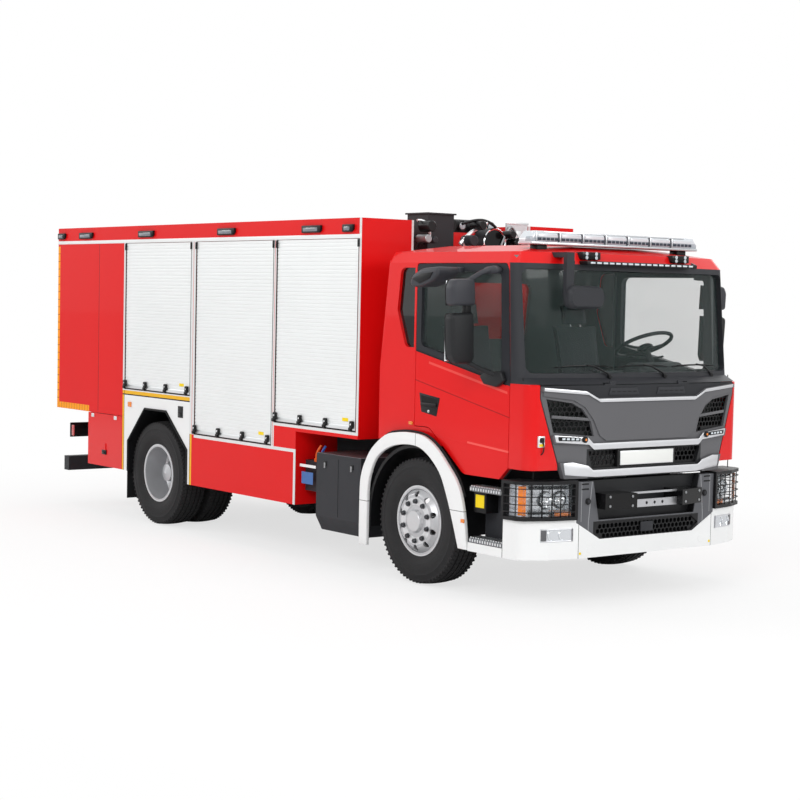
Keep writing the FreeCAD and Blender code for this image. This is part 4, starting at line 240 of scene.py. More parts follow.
def locker_paint():
    """Red lockers with the white arch panel, its yellow border, the edge tape and the bay frames."""
    finish = paint("locker_paint", RED, 0.14)
    x, z, out = finish.x, finish.z, abs(finish.y)
    side = out > BODY_HALF - 0.004
    rear, front, top = ARCH_PANEL
    border, seal_width, tape_foot, tape_turn = 0.036, 0.012, 1.084, 1.15
    panel = side * x.within(rear, front) * (z < top)
    inner = side * x.within(rear + border, front - border) * (z < top - border)
    seal = panel * (z.within(top - border - seal_width, top - border) | x.near(rear + border, 0.004)
                    | x.near(front - border, 0.004))
    tape = side * ((x < BODY_REAR + 0.048) * z.within(tape_foot, TRIM_LOW - 0.02)
                   | z.within(tape_foot, tape_turn) * (x < FLAP_REAR + 0.02))
    cells = ((z % 0.085) < 0.006) * (z > tape_turn) | ((x % 0.062) < 0.005) * (z < tape_turn)
    nose = (x > BODY_FRONT - 0.028) * (z > 1.195)
    rails = (x.within(-3.647, -3.562) | x.within(-2.166, -2.122)) * z.within(0.996, TRIM_LOW)
    edge = x.within(rear, -4.995) * z.within(top, TRIM_LOW)
    sills = (z.within(0.966, 0.996) * x.within(-3.562, -1.74)
             | z.within(1.192, 1.219) * x.within(-2.166, BODY_FRONT)
             | z.within(top, 1.373) * x.within(rear, -3.647))
    skirt = x.within(-1.792, -1.7) * (z < 0.98)
    frames = side * (rails | z.within(TRIM_LOW, TRIM_HIGH) | nose | edge | sills | skirt)
    lines = side * (x.near(-3.604, 0.003) | x.near(-2.144, 0.003)) * (z > 1.0)
    seam = side * x.near(-5.58, 0.0035) * z.within(1.095, TRIM_LOW)
    well = (out < 0.7) * (x > BODY_FRONT - 0.004) * (z > 1.2)
    inside = out.within(0.69, BODY_HALF - 0.03) * (x < BODY_FRONT - 0.02) * (z < 3.0)
    inside = inside * ((z > 1.215) | (x < -1.8))
    inside = inside * ((x > BODY_REAR + 0.02) * (z > 1.1) | (x > FLAP_REAR + 0.02))
    wheel_house = (1 - side) * x.within(-4.91, -3.68) * (z < 1.2)
    finish.layers(shade(finish, RED, 0.03),
                  (panel, rgb(240, 182, 34)), (inner, WHITE), (seal, BLACK),
                  (tape, rgb(250, 158, 18)), (tape * cells, rgb(120, 60, 10)),
                  (frames | well, PILLAR_WHITE), (lines, RED), (seam, rgb(70, 4, 6)),
                  (inside, BARE_METAL), (wheel_house, rgb(24, 24, 26)))
    finish.bump(finish.peel() - seam * 4.0 - seal * 2.0, 0.0008, 0.3)
    return finish


def core_paint():
    """Bare deck and inner walls, with the tail and front walls painted red outside."""
    finish = metal("core_metal", BARE_METAL, 0.45)
    outside = (finish.x < BODY_REAR + 0.012) | (finish.x > BODY_FRONT - 0.012)
    outside = outside * (finish.z > 1.0)
    finish.layers(shade(finish, BARE_METAL, 0.05, 3.0), (outside, RED))
    finish.set("Metallic", 1 - outside)
    return finish


def lower_crease(finish):
    """How far above the pressed crease along the cab a place lies."""
    return finish.z - 1.245 + (finish.x - 0.5) * 0.075


def cab_paint():
    """Red cab shell outside and a grey lining inside, with painted shade under the cab and behind the
    front grilles.
    """
    finish = paint("cab_paint", RED)
    x, z, out = finish.x, finish.z, abs(finish.y)
    rise = ((z - 1.8) / 0.9).clamped()
    camber = (((out - 0.79) / 0.34).clamped() | ((x - 0.9) / 0.35).clamped()
              | ((-0.17 - x) / 0.33).clamped())
    inside = ((out < 1.145) * (x > rise * 0.112 - 0.582) * (z < 2.82 - camber * 0.06)
              * (z > 1.215) * (x < 1.235 - rise * 0.115))
    # Painted shade: the underside of the cab and the nose behind the grilles are painted near black for
    # the shade there.
    under = (z < 1.2) * (out < 1.12) * (x < 1.33) | (out < 0.93) * z.within(0.98, 1.76) * (x > 1.2)
    finish.layers(shade(finish, RED, 0.03), (inside, rgb(112, 117, 117)), (under, rgb(40, 40, 42)))
    finish.bump(finish.peel() + (lower_crease(finish) / 0.02).clamped() * 1.2, 0.0012, 0.35)
    return finish


def door_paint():
    """Doors red below the belt line and dark grey round the window, with a painted shadow line along the
    upper crease and painted highlights under the belt and along the lower crease.
    """
    finish = paint("door_paint", RED, 0.3)
    above = finish.z - (BELT_HEIGHT - finish.x * BELT_FALL)
    crease = lower_crease(finish)
    window = above > 0.0
    lining = abs(finish.y) < 1.155
    # Painted shadow: a thin dark red line along the upper crease stands in for its shade.
    edge = abs(above + 0.247) < 0.0045
    # Painted highlights: pale streaks under the belt line and along the lower crease stand in for light
    # caught by the panel.
    painted_highlight = above.near(-0.06, 0.01) * finish.x.within(0.1, 1.1)
    low_painted_highlight = crease.near(0.012, 0.008) * finish.x.within(0.62, 1.2)
    finish.layers(shade(finish, RED, 0.03), (edge, rgb(170, 8, 10)), (painted_highlight * 0.35, PAINTED_HIGHLIGHT),
                  (low_painted_highlight * 0.5, PAINTED_HIGHLIGHT), (window, DARK_GREY), (lining, rgb(60, 61, 63)))
    finish.set("Coat Weight", (1 - (window | lining)) * 0.3)
    pressed = ((above + 0.235) / 0.012).clamped() + (crease / 0.012).clamped()
    finish.bump(finish.peel() + pressed * 2.0, 0.0015, 0.5)
    return finish


def glass(name, tint, alpha):
    """Thin tinted safety glass: mostly see-through, with a clear gloss."""
    finish = Finish(name, tint, 0.02, coat=1.0, Coat_Roughness=0.01)
    finish.set("Alpha", finish.noise(1.2, 2.0, (1, 1, 4)) * 0.06 + alpha)
    finish.material.use_transparency_overlap = False
    return finish


def cab_panes():
    """Clear windscreen, and nearly black quarter panes behind the doors."""
    tint = rgb(60, 84, 80)
    finish = glass("screen_glass", tint, 0.11)
    quarter = (finish.x < -0.05) * (abs(finish.y) > 1.0)
    finish.layers(tint, (quarter, rgb(10, 12, 13)))
    finish.set("Alpha", quarter * 0.76 + 0.11)
    finish.set("Coat Weight", 1.0 - quarter * 0.7)
    return finish


def rubber():
    """Seals, flaps and hoses of matt rubber."""
    finish = Finish("rubber_seal", BLACK, 0.72, Specular_IOR_Level=0.3)
    finish.layers(shade(finish, BLACK, 0.15, 6.0))
    finish.bump(finish.noise(160.0, 4.0), 0.0008, 0.4)
    return finish


def lens(name, colour, ribs=120.0):
    """Moulded lamp lens with fine flutes."""
    finish = Finish(name, colour, 0.08, coat=0.8)
    finish.layers(shade(finish, colour, 0.12, 20.0))
    finish.bump(((finish.y * ribs) % 1.0) + ((finish.z * ribs) % 1.0), 0.0012, 0.5)
    return finish


def tread_plate():
    """Aluminium tread plate with raised round studs."""
    finish = Finish("tread_plate", rgb(150, 152, 155), 0.42, metallic=0.85)
    pitch = 0.018
    across = ((finish.x / pitch) % 1.0) - 0.5
    along = ((finish.y / pitch) % 1.0) - 0.5
    stud = 1 - ((across * across + along * along) * 14.0).clamped()
    finish.layers(shade(finish, rgb(122, 124, 128), 0.1, 12.0), (stud, rgb(206, 208, 210)))
    finish.bump(stud, 0.0025, 0.8)
    return finish


def bumper_depth(finish):
    """How far behind the bumper's wrapped face a place lies."""
    out = abs(finish.y)
    face = 1.5 - (out - 0.76).clamped() * 0.2143 - (out - 1.04).clamped() * 0.2107
    return face - (out - 1.2).clamped() * 1.0 - finish.x


def bumper_paint():
    """White bumper with its dark joints."""
    finish = paint("bumper_paint", WHITE)
    out = abs(finish.y)
    seam = out.near(0.76, 0.0025) | (out > 1.245) * finish.x.near(1.15, 0.003)
    finish.layers(shade(finish, WHITE, 0.03), (seam, rgb(60, 60, 62)))
    finish.bump(finish.peel() - seam * 3.0, 0.0008, 0.3)
    return finish


def bumper_middle():
    """Grey middle of the bumper: paler stepped sides, a dark recess and a black lower mesh."""
    finish = moulded("bumper_middle", GRILLE_GREY, 0.42)
    out, z = abs(finish.y), finish.z
    recess = (bumper_depth(finish) > 0.012) * (z > 0.674) * (out < 0.64)
    mesh = (z < 0.664) * (out < 0.602)
    step = out.near(0.655 - (z - 0.665).clamped() * 0.1, 0.004) | out.near(0.735, 0.003) * (z > 0.67)
    finish.layers(shade(finish, rgb(92, 93, 97), 0.05, 4.0), (recess, rgb(34, 35, 37)),
                  (mesh, rgb(24, 24, 26)), (step, rgb(150, 151, 154)))
    finish.bump(finish.noise(300.0) * 0.2 + step * 2.0, 0.001, 0.3)
    return finish


def hitch_paint():
    """Glossy black bracket boxes joined by a silver plate."""
    colour = rgb(14, 14, 15)
    finish = moulded("hitch_black", colour, 0.16, 0.0001)
    silver = abs(finish.y) < 0.2595
    finish.layers(shade(finish, colour, 0.05), (silver, rgb(186, 187, 190)))
    finish.set("Metallic", silver * 0.9)
    finish.set("Roughness", silver * 0.2 + 0.16)
    return finish


def lamp_body():
    """Black lamp frames and wire guards round bright bowls."""
    colour = rgb(22, 22, 24)
    finish = moulded("lamp_body", colour, 0.4)
    out, z = abs(finish.y), finish.z
    bowl = (bumper_depth(finish) > 0.03) * z.within(0.7185, 0.9715) * out.within(0.8185, 1.212)
    bowl = bowl | z.within(0.5195, 0.6255)
    finish.layers(shade(finish, colour, 0.08, 6.0), (bowl, rgb(206, 209, 213)))
    finish.set("Metallic", bowl * 0.85)
    finish.set("Roughness", 0.42 - bowl * 0.26)
    return finish


def fender_paint():
    """White arch bands with their joints, and the black liners behind them."""
    finish = paint("fender_paint", WHITE)
    x, z = finish.x, finish.z
    liner = abs(finish.y) < 1.2275
    seam = (x.near(0.03, 0.0025) * (z > 0.9) | z.near(0.69, 0.0025) * (x > 0.4)
            | z.near(0.64, 0.0025) * (x < -0.4))
    finish.layers(shade(finish, WHITE, 0.03), (seam, rgb(70, 70, 72)), (liner, rgb(26, 26, 28)))
    finish.set("Coat Weight", (1 - liner) * 0.45)
    finish.set("Roughness", liner * 0.3 + 0.38)
    finish.bump(finish.peel() + liner * finish.noise(180.0) * 2.0 - seam * 3.0, 0.0008, 0.3)
    return finish


def bar_lens():
    """Clear ribbed dome of the light bar over its grey reflector rows."""
    colour = rgb(216, 222, 227)
    finish = Finish("bar_lens", colour, 0.12, coat=0.8)
    low = finish.z.within(2.876, 2.914) * (finish.x > 1.0)
    finish.layers(shade(finish, colour, 0.06, 8.0), (low * 0.6, rgb(120, 130, 142)))
    finish.bump(((finish.y * 90.0) % 1.0) + ((finish.x * 60.0) % 1.0) * 0.4, 0.001, 0.35)
    return finish


def gear_finish():
    """Dark moulded gear boxes and drums, and the pale bracket plate."""
    finish = moulded("gear_plastic", CHASSIS_GREY, 0.5)
    pale = finish.y > 0.405
    finish.layers(shade(finish, CHASSIS_GREY, 0.1, 4.0), (pale, rgb(204, 205, 207)))
    finish.set("Metallic", pale * 0.7)
    return finish


def panel_finish():
    """Grey front panel with a dark cowl above its silver edge, dark ground round the plate, and painted
    shade on its set-back parts behind the grilles.
    """
    finish = paint("panel_grey", GRILLE_GREY, 0.35)
    out, z = abs(finish.y), finish.z
    top_edge = 1.64 + (out - 0.56).clamped() * 0.472 - (out - 0.685).clamped() * 0.391
    cowl = z > top_edge + 0.004
    ground = (out < 0.655) * z.within(1.0, 1.24)
    # Painted shade: the parts set back behind the panel's face are painted near black for the shade behind
    # the grilles.
    behind = finish.x < 1.43 - (out - 0.619).clamped() * 0.152
    finish.layers(shade(finish, GRILLE_GREY, 0.04), (cowl, rgb(50, 51, 54)),
                  (ground, rgb(40, 41, 43)), (behind, rgb(34, 34, 36)))
    finish.set("Coat Weight", (1 - (cowl | behind)) * 0.35)
    return finish


def round_wheel(finish):
    """How far ahead of its wheel's axis and above it a place lies, and its distance from the axis."""
    along = finish.x + (finish.x < BETWEEN_AXLES) * -REAR_AXLE
    up = finish.z - WHEEL_HEIGHT
    return along, up, (along * along + up * up).root()


def wheel_metal():
    """Painted steel wheel with a machined ring round its nuts and darker road film in the dish."""
    finish = metal("wheel_metal", rgb(206, 207, 210), 0.34)
    finish.set("Metallic", finish.noise(3.0) * 0.1 + 0.45)
    radius = round_wheel(finish)[2]
    ring = radius.within(0.137, 0.198)
    film = finish.noise(7.0, 4.0) * (radius / 0.3).clamped()
    finish.layers(shade(finish, rgb(192, 193, 196), 0.06, 5.0), (film * 0.25, rgb(120, 118, 114)),
                  (ring, rgb(216, 217, 219)), (radius > 0.285, rgb(206, 207, 209)))
    finish.bump(((radius * 260.0) % 1.0) * ring, 0.0004, 0.3)
    return finish


def road_tyre():
    """Tyre rubber with cross cuts in its tread painted darker as shade, rings on its sidewall and a little
    dust.
    """
    finish = Finish("road_tyre", rgb(25, 25, 27), 0.68, Specular_IOR_Level=0.18)
    along, up, radius = round_wheel(finish)
    zigzag = abs((finish.y * 26.0) % 1.0 - 0.5) * 0.9
    cut = (((up.angle(along) * 13.0 + zigzag) % 1.0) < 0.16) * (radius > 0.5225)
    rings = (((radius * 95.0) % 1.0) < 0.12) * radius.within(0.33, 0.5)
    dust = finish.noise(5.0, 4.0)
    # Painted shade: the cross cuts are painted near black for the shade inside them.
    finish.layers(shade(finish, rgb(31, 31, 33), 0.2, 9.0), (dust * 0.16, rgb(92, 90, 88)),
                  (cut, rgb(12, 12, 13)))
    finish.set("Roughness", dust * 0.2 + 0.55)
    finish.bump(finish.noise(240.0, 3.0) * 0.2 - cut * 6.0 + rings * 0.5, 0.0012, 0.6)
    return finish


def upholstery():
    """Woven seat cloth."""
    finish = Finish("seat_cloth", rgb(52, 54, 58), 0.85, Sheen_Weight=0.3, Sheen_Roughness=0.4)
    rib = abs((finish.y / 0.06) % 1.0 - 0.5)
    finish.layers(shade(finish, rgb(58, 60, 64), 0.15, 5.0), ((rib < 0.03) * 0.5, rgb(30, 31, 33)))
    finish.bump((rib * 8.0).clamped(), 0.0008, 0.25)
    return finish


LOOKS = {
    "red": paint("red_paint", RED),
    "white": paint("white_paint", WHITE),
    "lockers": locker_paint(),
    "core": core_paint(),
    "cab": cab_paint(),
    "doors": door_paint(),
    "dark": moulded("dark_plastic", DARK_GREY),
    "black": moulded("black_plastic", BLACK, 0.42),
    "gloss": moulded("gloss_black", rgb(12, 12, 13), 0.18, 0.0001),
    "grey": paint("grille_grey", GRILLE_GREY, 0.35),
    "silver": metal("silver_band", rgb(214, 215, 218), 0.34),
    "shutter": anodised(),
    "rail": metal("rail_silver", rgb(226, 228, 229), 0.35, (0.05, 1, 1)),
    "chrome": metal("chrome", rgb(236, 238, 240), 0.09),
    "steel": metal("steel", BARE_METAL, 0.45),
    "chassis": moulded("chassis_paint", CHASSIS_GREY, 0.5),
    "window": glass("window_glass", rgb(60, 80, 76), 0.13),
    "screen": cab_panes(),
    "lamp_cover": glass("lamp_cover", rgb(150, 160, 166), 0.06),
    "rubber": rubber(),
    "tyre": road_tyre(),
    "seat": upholstery(),
    "amber": lens("amber_lens", rgb(240, 130, 8)),
    "amber_bright": lens("amber_bright", rgb(252, 132, 0), 60.0),
    "red_lens": lens("red_lens", rgb(190, 10, 10)),
    "clear_lens": lens("clear_lens", rgb(214, 222, 228)),
    "flood_lens": lens("flood_lens", rgb(112, 118, 126)),
    "label": paint("label_yellow", rgb(246, 214, 20), 0.2),
    "tread": tread_plate(),
    "lining": moulded("cab_lining", rgb(96, 102, 100), 0.7),
    "dash_pad": moulded("dash_pad", rgb(62, 66, 67), 0.7),
    "grip": moulded("wheel_grip", rgb(34, 35, 37), 0.5),
    "bumper": bumper_paint(),
    "middle": bumper_middle(),
    "hitch": hitch_paint(),
    "lamps": lamp_body(),
    "fenders": fender_paint(),
    "bar_lens": bar_lens(),
    "bar_rail": metal("bar_rail", rgb(206, 208, 211), 0.3),
    "bar_dark": moulded("bar_reflector", rgb(52, 60, 72), 0.3),
    "gear": gear_finish(),
    "panel": panel_finish(),
    "wheel": wheel_metal(),
    "plate": paint("number_plate", rgb(238, 239, 236), 0.4),
    "nut": metal("nut_dark", rgb(70, 71, 74), 0.4),
    "cap": metal("hub_cap", rgb(206, 207, 209), 0.3, (1, 1, 30)),
    "mirror": metal("mirror_glass", rgb(222, 226, 228), 0.1),
    # Lit and shaded copies of one dark plastic: the upper mirror parts painted lighter and the lower ones
    # darker, as painted light and shade.
    "mirror_shell": moulded("mirror_shell", rgb(58, 59, 64), 0.42),
    "mirror_dark": moulded("mirror_dark", rgb(30, 31, 33), 0.5),
    "label_blue": paint("label_blue", rgb(70, 110, 170), 0.2),
    "coupling_orange": moulded("coupling_orange", rgb(226, 92, 22), 0.4),
    "coupling_blue": moulded("coupling_blue", rgb(36, 84, 168), 0.4),
}

NODE_LOOKS = {
    "chassis": "chassis_frame front_axle rear_axle underrun_beam",
    "steel": "engine_block rear_ladder knuckle_right knuckle_left tie_rod",
    "cab": "cab_shell",
    "dark": "window_surround cab_steps chassis_boxes front_mirror mirrors_right mirrors_left",
    "screen": "cab_glass",
    "bumper": "lower_bumper",
    "middle": "centre_bumper",
    "hitch": "front_hitch",
    "lamps": "front_lamps",
    "fenders": "front_fenders",
    "lining": "dashboard",
    "seat": "cab_seats",
    "lockers": "lockers_right lockers_left",
    "core": "body_core",
    "shutter": "roller_shutters",
    "rubber": "mudflaps",
    "bar_lens": "cab_lights",
    "gear": "roof_gear",
    "black": "body_lamps mesh_grilles light_mast",
    "doors": "door_right door_left",
    "window": "door_glass_right door_glass_left",
    "panel": "grille_panel",
    "wheel": "front_rim_right front_rim_left rear_rims_right rear_rims_left",
    "tyre": "front_tyre_right front_tyre_left rear_tyres_right rear_tyres_left",
    "red": "locker_flap_right locker_flap_left",
}
for look, names in NODE_LOOKS.items():
    for name in names.split():
        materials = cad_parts[name].data.materials
        materials.clear()
        materials.append(LOOKS[look].material)


# Shapes

DIRECTIONS = {"x": Vector((1, 0, 0)), "y": Vector((0, 1, 0)), "z": Vector((0, 0, 1))}


def rounded(shape, radius, steps):
    """The shape with all its edges rounded."""
    if radius:
        bmesh.ops.bevel(shape, geom=shape.edges[:], offset=radius, segments=steps, profile=0.5,
                        affect="EDGES", material=-1)
    return shape


def rounded_block(low, high, radius=0.0, steps=2):
    """A box between two corners."""
    shape = bmesh.new()
    bmesh.ops.create_cube(shape, size=1.0)
    low, high = Vector(low), Vector(high)
    bmesh.ops.scale(shape, vec=high - low, verts=shape.verts)
    bmesh.ops.translate(shape, vec=(low + high) / 2, verts=shape.verts)
    return rounded(shape, radius, steps)


def plate(outline, axis, start, end, radius=0.0, steps=2):
    """An outline drawn square to an axis and carried along it."""
    shape = bmesh.new()
    first, second = (DIRECTIONS[letter] for letter in "xyz" if letter != axis)
    along = DIRECTIONS[axis]
    corners = [first * across + second * up + along * start for across, up in outline]
    face = shape.faces.new([shape.verts.new(corner) for corner in corners])
    grown = bmesh.ops.extrude_face_region(shape, geom=[face])["geom"]
    verts = [item for item in grown if isinstance(item, bmesh.types.BMVert)]
    bmesh.ops.translate(shape, vec=along * (end - start), verts=verts)
    bmesh.ops.recalc_face_normals(shape, faces=shape.faces)
    return rounded(shape, radius, steps)


def lathe(profile, axis, centre, steps=48):
    """A profile of heights and radii spun about an axis through a centre."""
    shape = bmesh.new()
    verts = [shape.verts.new((radius, 0, height)) for height, radius in profile]
    edges = [shape.edges.new(pair) for pair in zip(verts, verts[1:])]
    bmesh.ops.spin(shape, geom=verts + edges, cent=(0, 0, 0), axis=(0, 0, 1), angle=2 * math.pi,
                   steps=steps, use_merge=True)
    bmesh.ops.remove_doubles(shape, verts=shape.verts, dist=0.00005)
    bmesh.ops.recalc_face_normals(shape, faces=shape.faces)
    turn = DIRECTIONS["z"].rotation_difference(DIRECTIONS.get(axis) or Vector(axis))
    bmesh.ops.rotate(shape, cent=(0, 0, 0), matrix=turn.to_matrix(), verts=shape.verts)
    bmesh.ops.translate(shape, vec=Vector(centre), verts=shape.verts)
    return shape


def tube(points, radius, bend="POLY", closed=False, sides=3):
    """A round bar through some points, with corners or with a smooth sweep."""
    curve = bpy.data.curves.new("run", "CURVE")
    curve.dimensions = "3D"
    curve.bevel_depth = radius
    curve.bevel_resolution = sides
    curve.resolution_u = 6
    curve.use_fill_caps = True
    spline = curve.splines.new(bend)
    spline.points.add(len(points) - 1)
    for point, place in zip(spline.points, points):
        point.co = (*place, 1)
    spline.use_cyclic_u = closed
    if bend == "NURBS":
        spline.order_u = 3
        spline.use_endpoint_u = not closed
    holder = bpy.data.objects.new("run", curve)
    mesh = bpy.data.meshes.new_from_object(holder)
    shape = bmesh.new()
    shape.from_mesh(mesh)
    bpy.data.meshes.remove(mesh)
    bpy.data.objects.remove(holder)
    bpy.data.curves.remove(curve)
    bmesh.ops.remove_doubles(shape, verts=shape.verts, dist=0.00002)
    bmesh.ops.recalc_face_normals(shape, faces=shape.faces)
    return shape


def ring_of(shape, count, centre):
    """Repeat a shape round an axle."""
    bmesh.ops.spin(shape, geom=shape.verts[:] + shape.edges[:] + shape.faces[:], cent=centre,
                   axis=DIRECTIONS["y"], angle=2 * math.pi * (count - 1) / count, steps=count - 1,
                   use_duplicate=True)
    return shape


def mesh_of(name, shape):
    """The mesh of a shape that is done with."""
    mesh = bpy.data.meshes.new(name)
    shape.to_mesh(mesh)
    shape.free()
    return mesh


def placed(name, data):
    """A new object of the scene."""
    made = bpy.data.objects.new(name, data)
    bpy.context.scene.collection.objects.link(made)
    return made


def oblong(low, high):
    """The corners of an upright oblong."""
    return [low, (high[0], low[1]), high, (low[0], high[1])]


def sided(side, outline):
    """An outline of distances out and heights, set on one side."""
    return [(side * out, z) for out, z in outline]


def both_ways(outline):
    """A right-hand outline closed by its left-hand mirror."""
    return sided(-1, outline) + outline[::-1]


def spread(side, near, far):
    """A low and a high place across, from two distances out on one side."""
    return sorted((side * near, side * far))


# How far ahead the bumper's face stands at some widths.
BUMPER_STATIONS = ((0.0, 1.5), (0.76, 1.5), (1.04, 1.44), (1.2, 1.372), (1.25, 1.3))


def bumper_face(y):
    """How far ahead the bumper's face stands at a width."""
    for (near, x_near), (far, x_far) in zip(BUMPER_STATIONS, BUMPER_STATIONS[1:]):
        if y <= far:
            return x_near + (x_far - x_near) * (y - near) / (far - near)
    return BUMPER_STATIONS[-1][1]


PANEL_X = 1.462
# The front is flat out to BOW_START, bends over BOW_WIDTH and then runs on straight.
BOW_START, BOW_WIDTH = 0.543, 0.152
PANEL_SLOPE, SCREEN_SLOPE = 0.152, 0.219


def front_bow(y, slope=PANEL_SLOPE):
    """How far the bowed front lies back at a width, round its soft shoulder."""
    reach = abs(y) - BOW_START
    if reach <= 0:
        return 0.0
    if reach < BOW_WIDTH:
        return slope * reach * reach / (2 * BOW_WIDTH)
    return slope * (reach - BOW_WIDTH / 2)


def bowed(shape):
    """Bend a shape drawn on a flat front back to the cab's bowed front."""
    for width in (0.543, 0.581, 0.619, 0.657, 0.695):
        for side in (-1, 1):
            geometry = shape.verts[:] + shape.edges[:] + shape.faces[:]
            bmesh.ops.bisect_plane(shape, geom=geometry, dist=0.00001, plane_co=(0, width * side, 0),
                                   plane_no=(0, 1, 0))
    for vert in shape.verts:
        vert.co.x -= front_bow(vert.co.y)
    return shape


class Piece:
    """A visible piece in the making: shapes with their finishes, carried by one body."""

    def __init__(self, name, slot, body="root"):
        self.name = name
        self.slot = slot
        self.body = body
        self.mesh = bmesh.new()
        self.looks = []

    def add(self, shape, look, sharp=0.6):
        """Take a shape in, with smooth faces and creases where it turns sharply."""
        if look not in self.looks:
            self.looks.append(look)
        for face in shape.faces:
            face.material_index = self.looks.index(look)
            face.smooth = True
        for edge in shape.edges:
            edge.smooth = len(edge.link_faces) != 2 or edge.calc_face_angle(0) < sharp
        holder = mesh_of("holder", shape)
        self.mesh.from_mesh(holder)
        bpy.data.meshes.remove(holder)

    def block(self, low, high, look, radius=0.0, steps=2):
        self.add(rounded_block(low, high, radius, steps), look)

    def beside(self, side, x, out, z, look, radius=0.003, steps=2):
        """A block on one side, given as spans along, out from the middle and up."""
        near, far = spread(side, *out)
        self.block((x[0], near, z[0]), (x[1], far, z[1]), look, radius, steps)

    def plate(self, outline, axis, start, end, look, radius=0.0, steps=2):
        self.add(plate(outline, axis, start, end, radius, steps), look)

    def on_front(self, outline, low, high, look, radius=0.003, steps=2):
        """A plate on the front panel, between two heights above its skin."""
        self.add(bowed(plate(outline, "x", PANEL_X + low, PANEL_X + high, radius, steps)), look)

    def on_bumper(self, across, up, near, far, look, radius=0.002):
        """A strip along the bumper's face on the right, between two depths behind it."""
        count = 12
        widths = [across[0] + (across[1] - across[0]) * i / count for i in range(count + 1)]
        outline = [(bumper_face(y) - near, -y) for y in widths]
        outline += [(bumper_face(y) - far, -y) for y in reversed(widths)]
        self.plate(outline, "z", *up, look, radius)

    def lathe(self, profile, axis, centre, look, steps=48):
        self.add(lathe(profile, axis, centre, steps), look)

    def drum(self, axis, centre, radius, length, look, chamfer=0.002, steps=32):
        """A short round drum with broken edges."""
        self.lathe([(0, 0), (0, radius - chamfer), (chamfer, radius), (length - chamfer, radius),
                    (length, radius - chamfer), (length, 0)], axis, centre, look, steps)

    def tube(self, points, radius, look, bend="POLY", closed=False, sides=3):
        self.add(tube(points, radius, bend, closed, sides), look)

    def twin(self):
        """Add the same shapes on the other side of the centre line."""
        everything = self.mesh.verts[:] + self.mesh.edges[:] + self.mesh.faces[:]
        copied = bmesh.ops.duplicate(self.mesh, geom=everything)["geom"]
        verts = [item for item in copied if isinstance(item, bmesh.types.BMVert)]
        faces = [item for item in copied if isinstance(item, bmesh.types.BMFace)]
        bmesh.ops.scale(self.mesh, vec=(1, -1, 1), verts=verts)
        bmesh.ops.reverse_faces(self.mesh, faces=faces)

    def done(self, *replaced):
        bmesh.ops.translate(self.mesh, vec=(AXLE, 0, 0), verts=self.mesh.verts)
        mesh = mesh_of(self.name, self.mesh)
        for look in self.looks:
            mesh.materials.append(LOOKS[look].material)
        made = placed(self.name, mesh)
        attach(made, self.body)
        if replaced:
            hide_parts(*replaced)
        return made


# Locker body

SLAT_PITCH = 0.034
SLAT_FACE, SHUTTER_BACK = 1.244, 1.222
SEAL = 0.012
FOOT_RAIL = 0.052
TAIL_FOOT, TAIL_TOP, TAIL_HALF = 1.24, 2.53, 0.6


def slat_outline(bottom, top):
    """The cross-section of a slatted shutter, as depths and heights."""
    count = round((top - bottom) / SLAT_PITCH)
    pitch = (top - bottom) / count
    outline = []
    for number in range(count):
        foot = bottom + number * pitch
        outline += [(SLAT_FACE - 0.0035, foot), (SLAT_FACE - 0.0035, foot + 0.004),
                    (SLAT_FACE, foot + 0.007), (SLAT_FACE + 0.0008, foot + pitch * 0.6),
                    (SLAT_FACE, foot + pitch - 0.001)]
    return outline + [(SLAT_FACE, top), (SHUTTER_BACK, top), (SHUTTER_BACK, bottom)]


def roller_shutters():
    """Slatted shutters with foot rails and rubber seals, three on each side and one at the tail."""
    piece = Piece("shutter_slats", "shutter_aluminium")
    for rear, front, sill in BAYS:
        low, high = rear + SEAL, front - SEAL
        slats = sided(-1, slat_outline(sill + FOOT_RAIL, TRIM_LOW - 0.004))
        piece.plate(slats, "x", low, high, "shutter")
        piece.block((low, -1.25, sill + 0.014), (high, -1.226, sill + FOOT_RAIL), "rail", 0.004)
        piece.block((low, -1.247, sill), (high, -1.222, sill + 0.014), "rubber", 0.002)
        for x in (rear, high):
            piece.block((x, -1.2495, sill), (x + SEAL, -1.222, TRIM_LOW), "rubber", 0.002)
    piece.twin()
    slats = [(-6.547 - (depth - SLAT_FACE), height)
             for depth, height in slat_outline(TAIL_FOOT + FOOT_RAIL, TAIL_TOP)]
    low, high = -TAIL_HALF + SEAL, TAIL_HALF - SEAL
    piece.plate(slats, "y", low, high, "shutter")
    piece.block((-6.553, low, TAIL_FOOT), (-6.53, high, 1.292), "rail", 0.004)
    for y in (-TAIL_HALF, high):
        piece.block((-6.553, y, TAIL_FOOT), (-6.525, y + SEAL, TAIL_TOP), "rubber", 0.002)
    piece.done("roller_shutters")


LATCH_SHARES = (0.018, 0.335, 0.648, 0.96)


def shutter_latches():
    """Black hasps with a pale pin along the foot of each shutter, and a plain yellow label by the last."""
    piece = Piece("shutter_latches", "black_plastic")
    for rear, front, sill in BAYS:
        for share in LATCH_SHARES:
            x = rear + (front - rear) * share
            piece.block((x - 0.026, -1.272, sill + 0.03), (x + 0.026, -1.246, sill + 0.098),
                        "black", 0.011, 3)
            piece.block((x - 0.046, -1.266, sill + 0.006), (x - 0.004, -1.248, sill + 0.04),
                        "black", 0.007)
            piece.drum("y", (x + 0.002, -1.276, sill + 0.068), 0.009, 0.006, "chrome", 0.001, 16)
        x = rear + (front - rear) * (LATCH_SHARES[-1] - 0.085)
        piece.block((x - 0.05, -1.247, sill + 0.088), (x + 0.04, -1.2445, sill + 0.118),
                    "label", 0.001, 1)
        for x in (rear - 0.004, front - 0.016):
            piece.block((x, -1.262, TRIM_LOW - 0.075), (x + 0.024, -1.248, TRIM_LOW - 0.006),
                        "black", 0.005)
    piece.twin()
    piece.done()


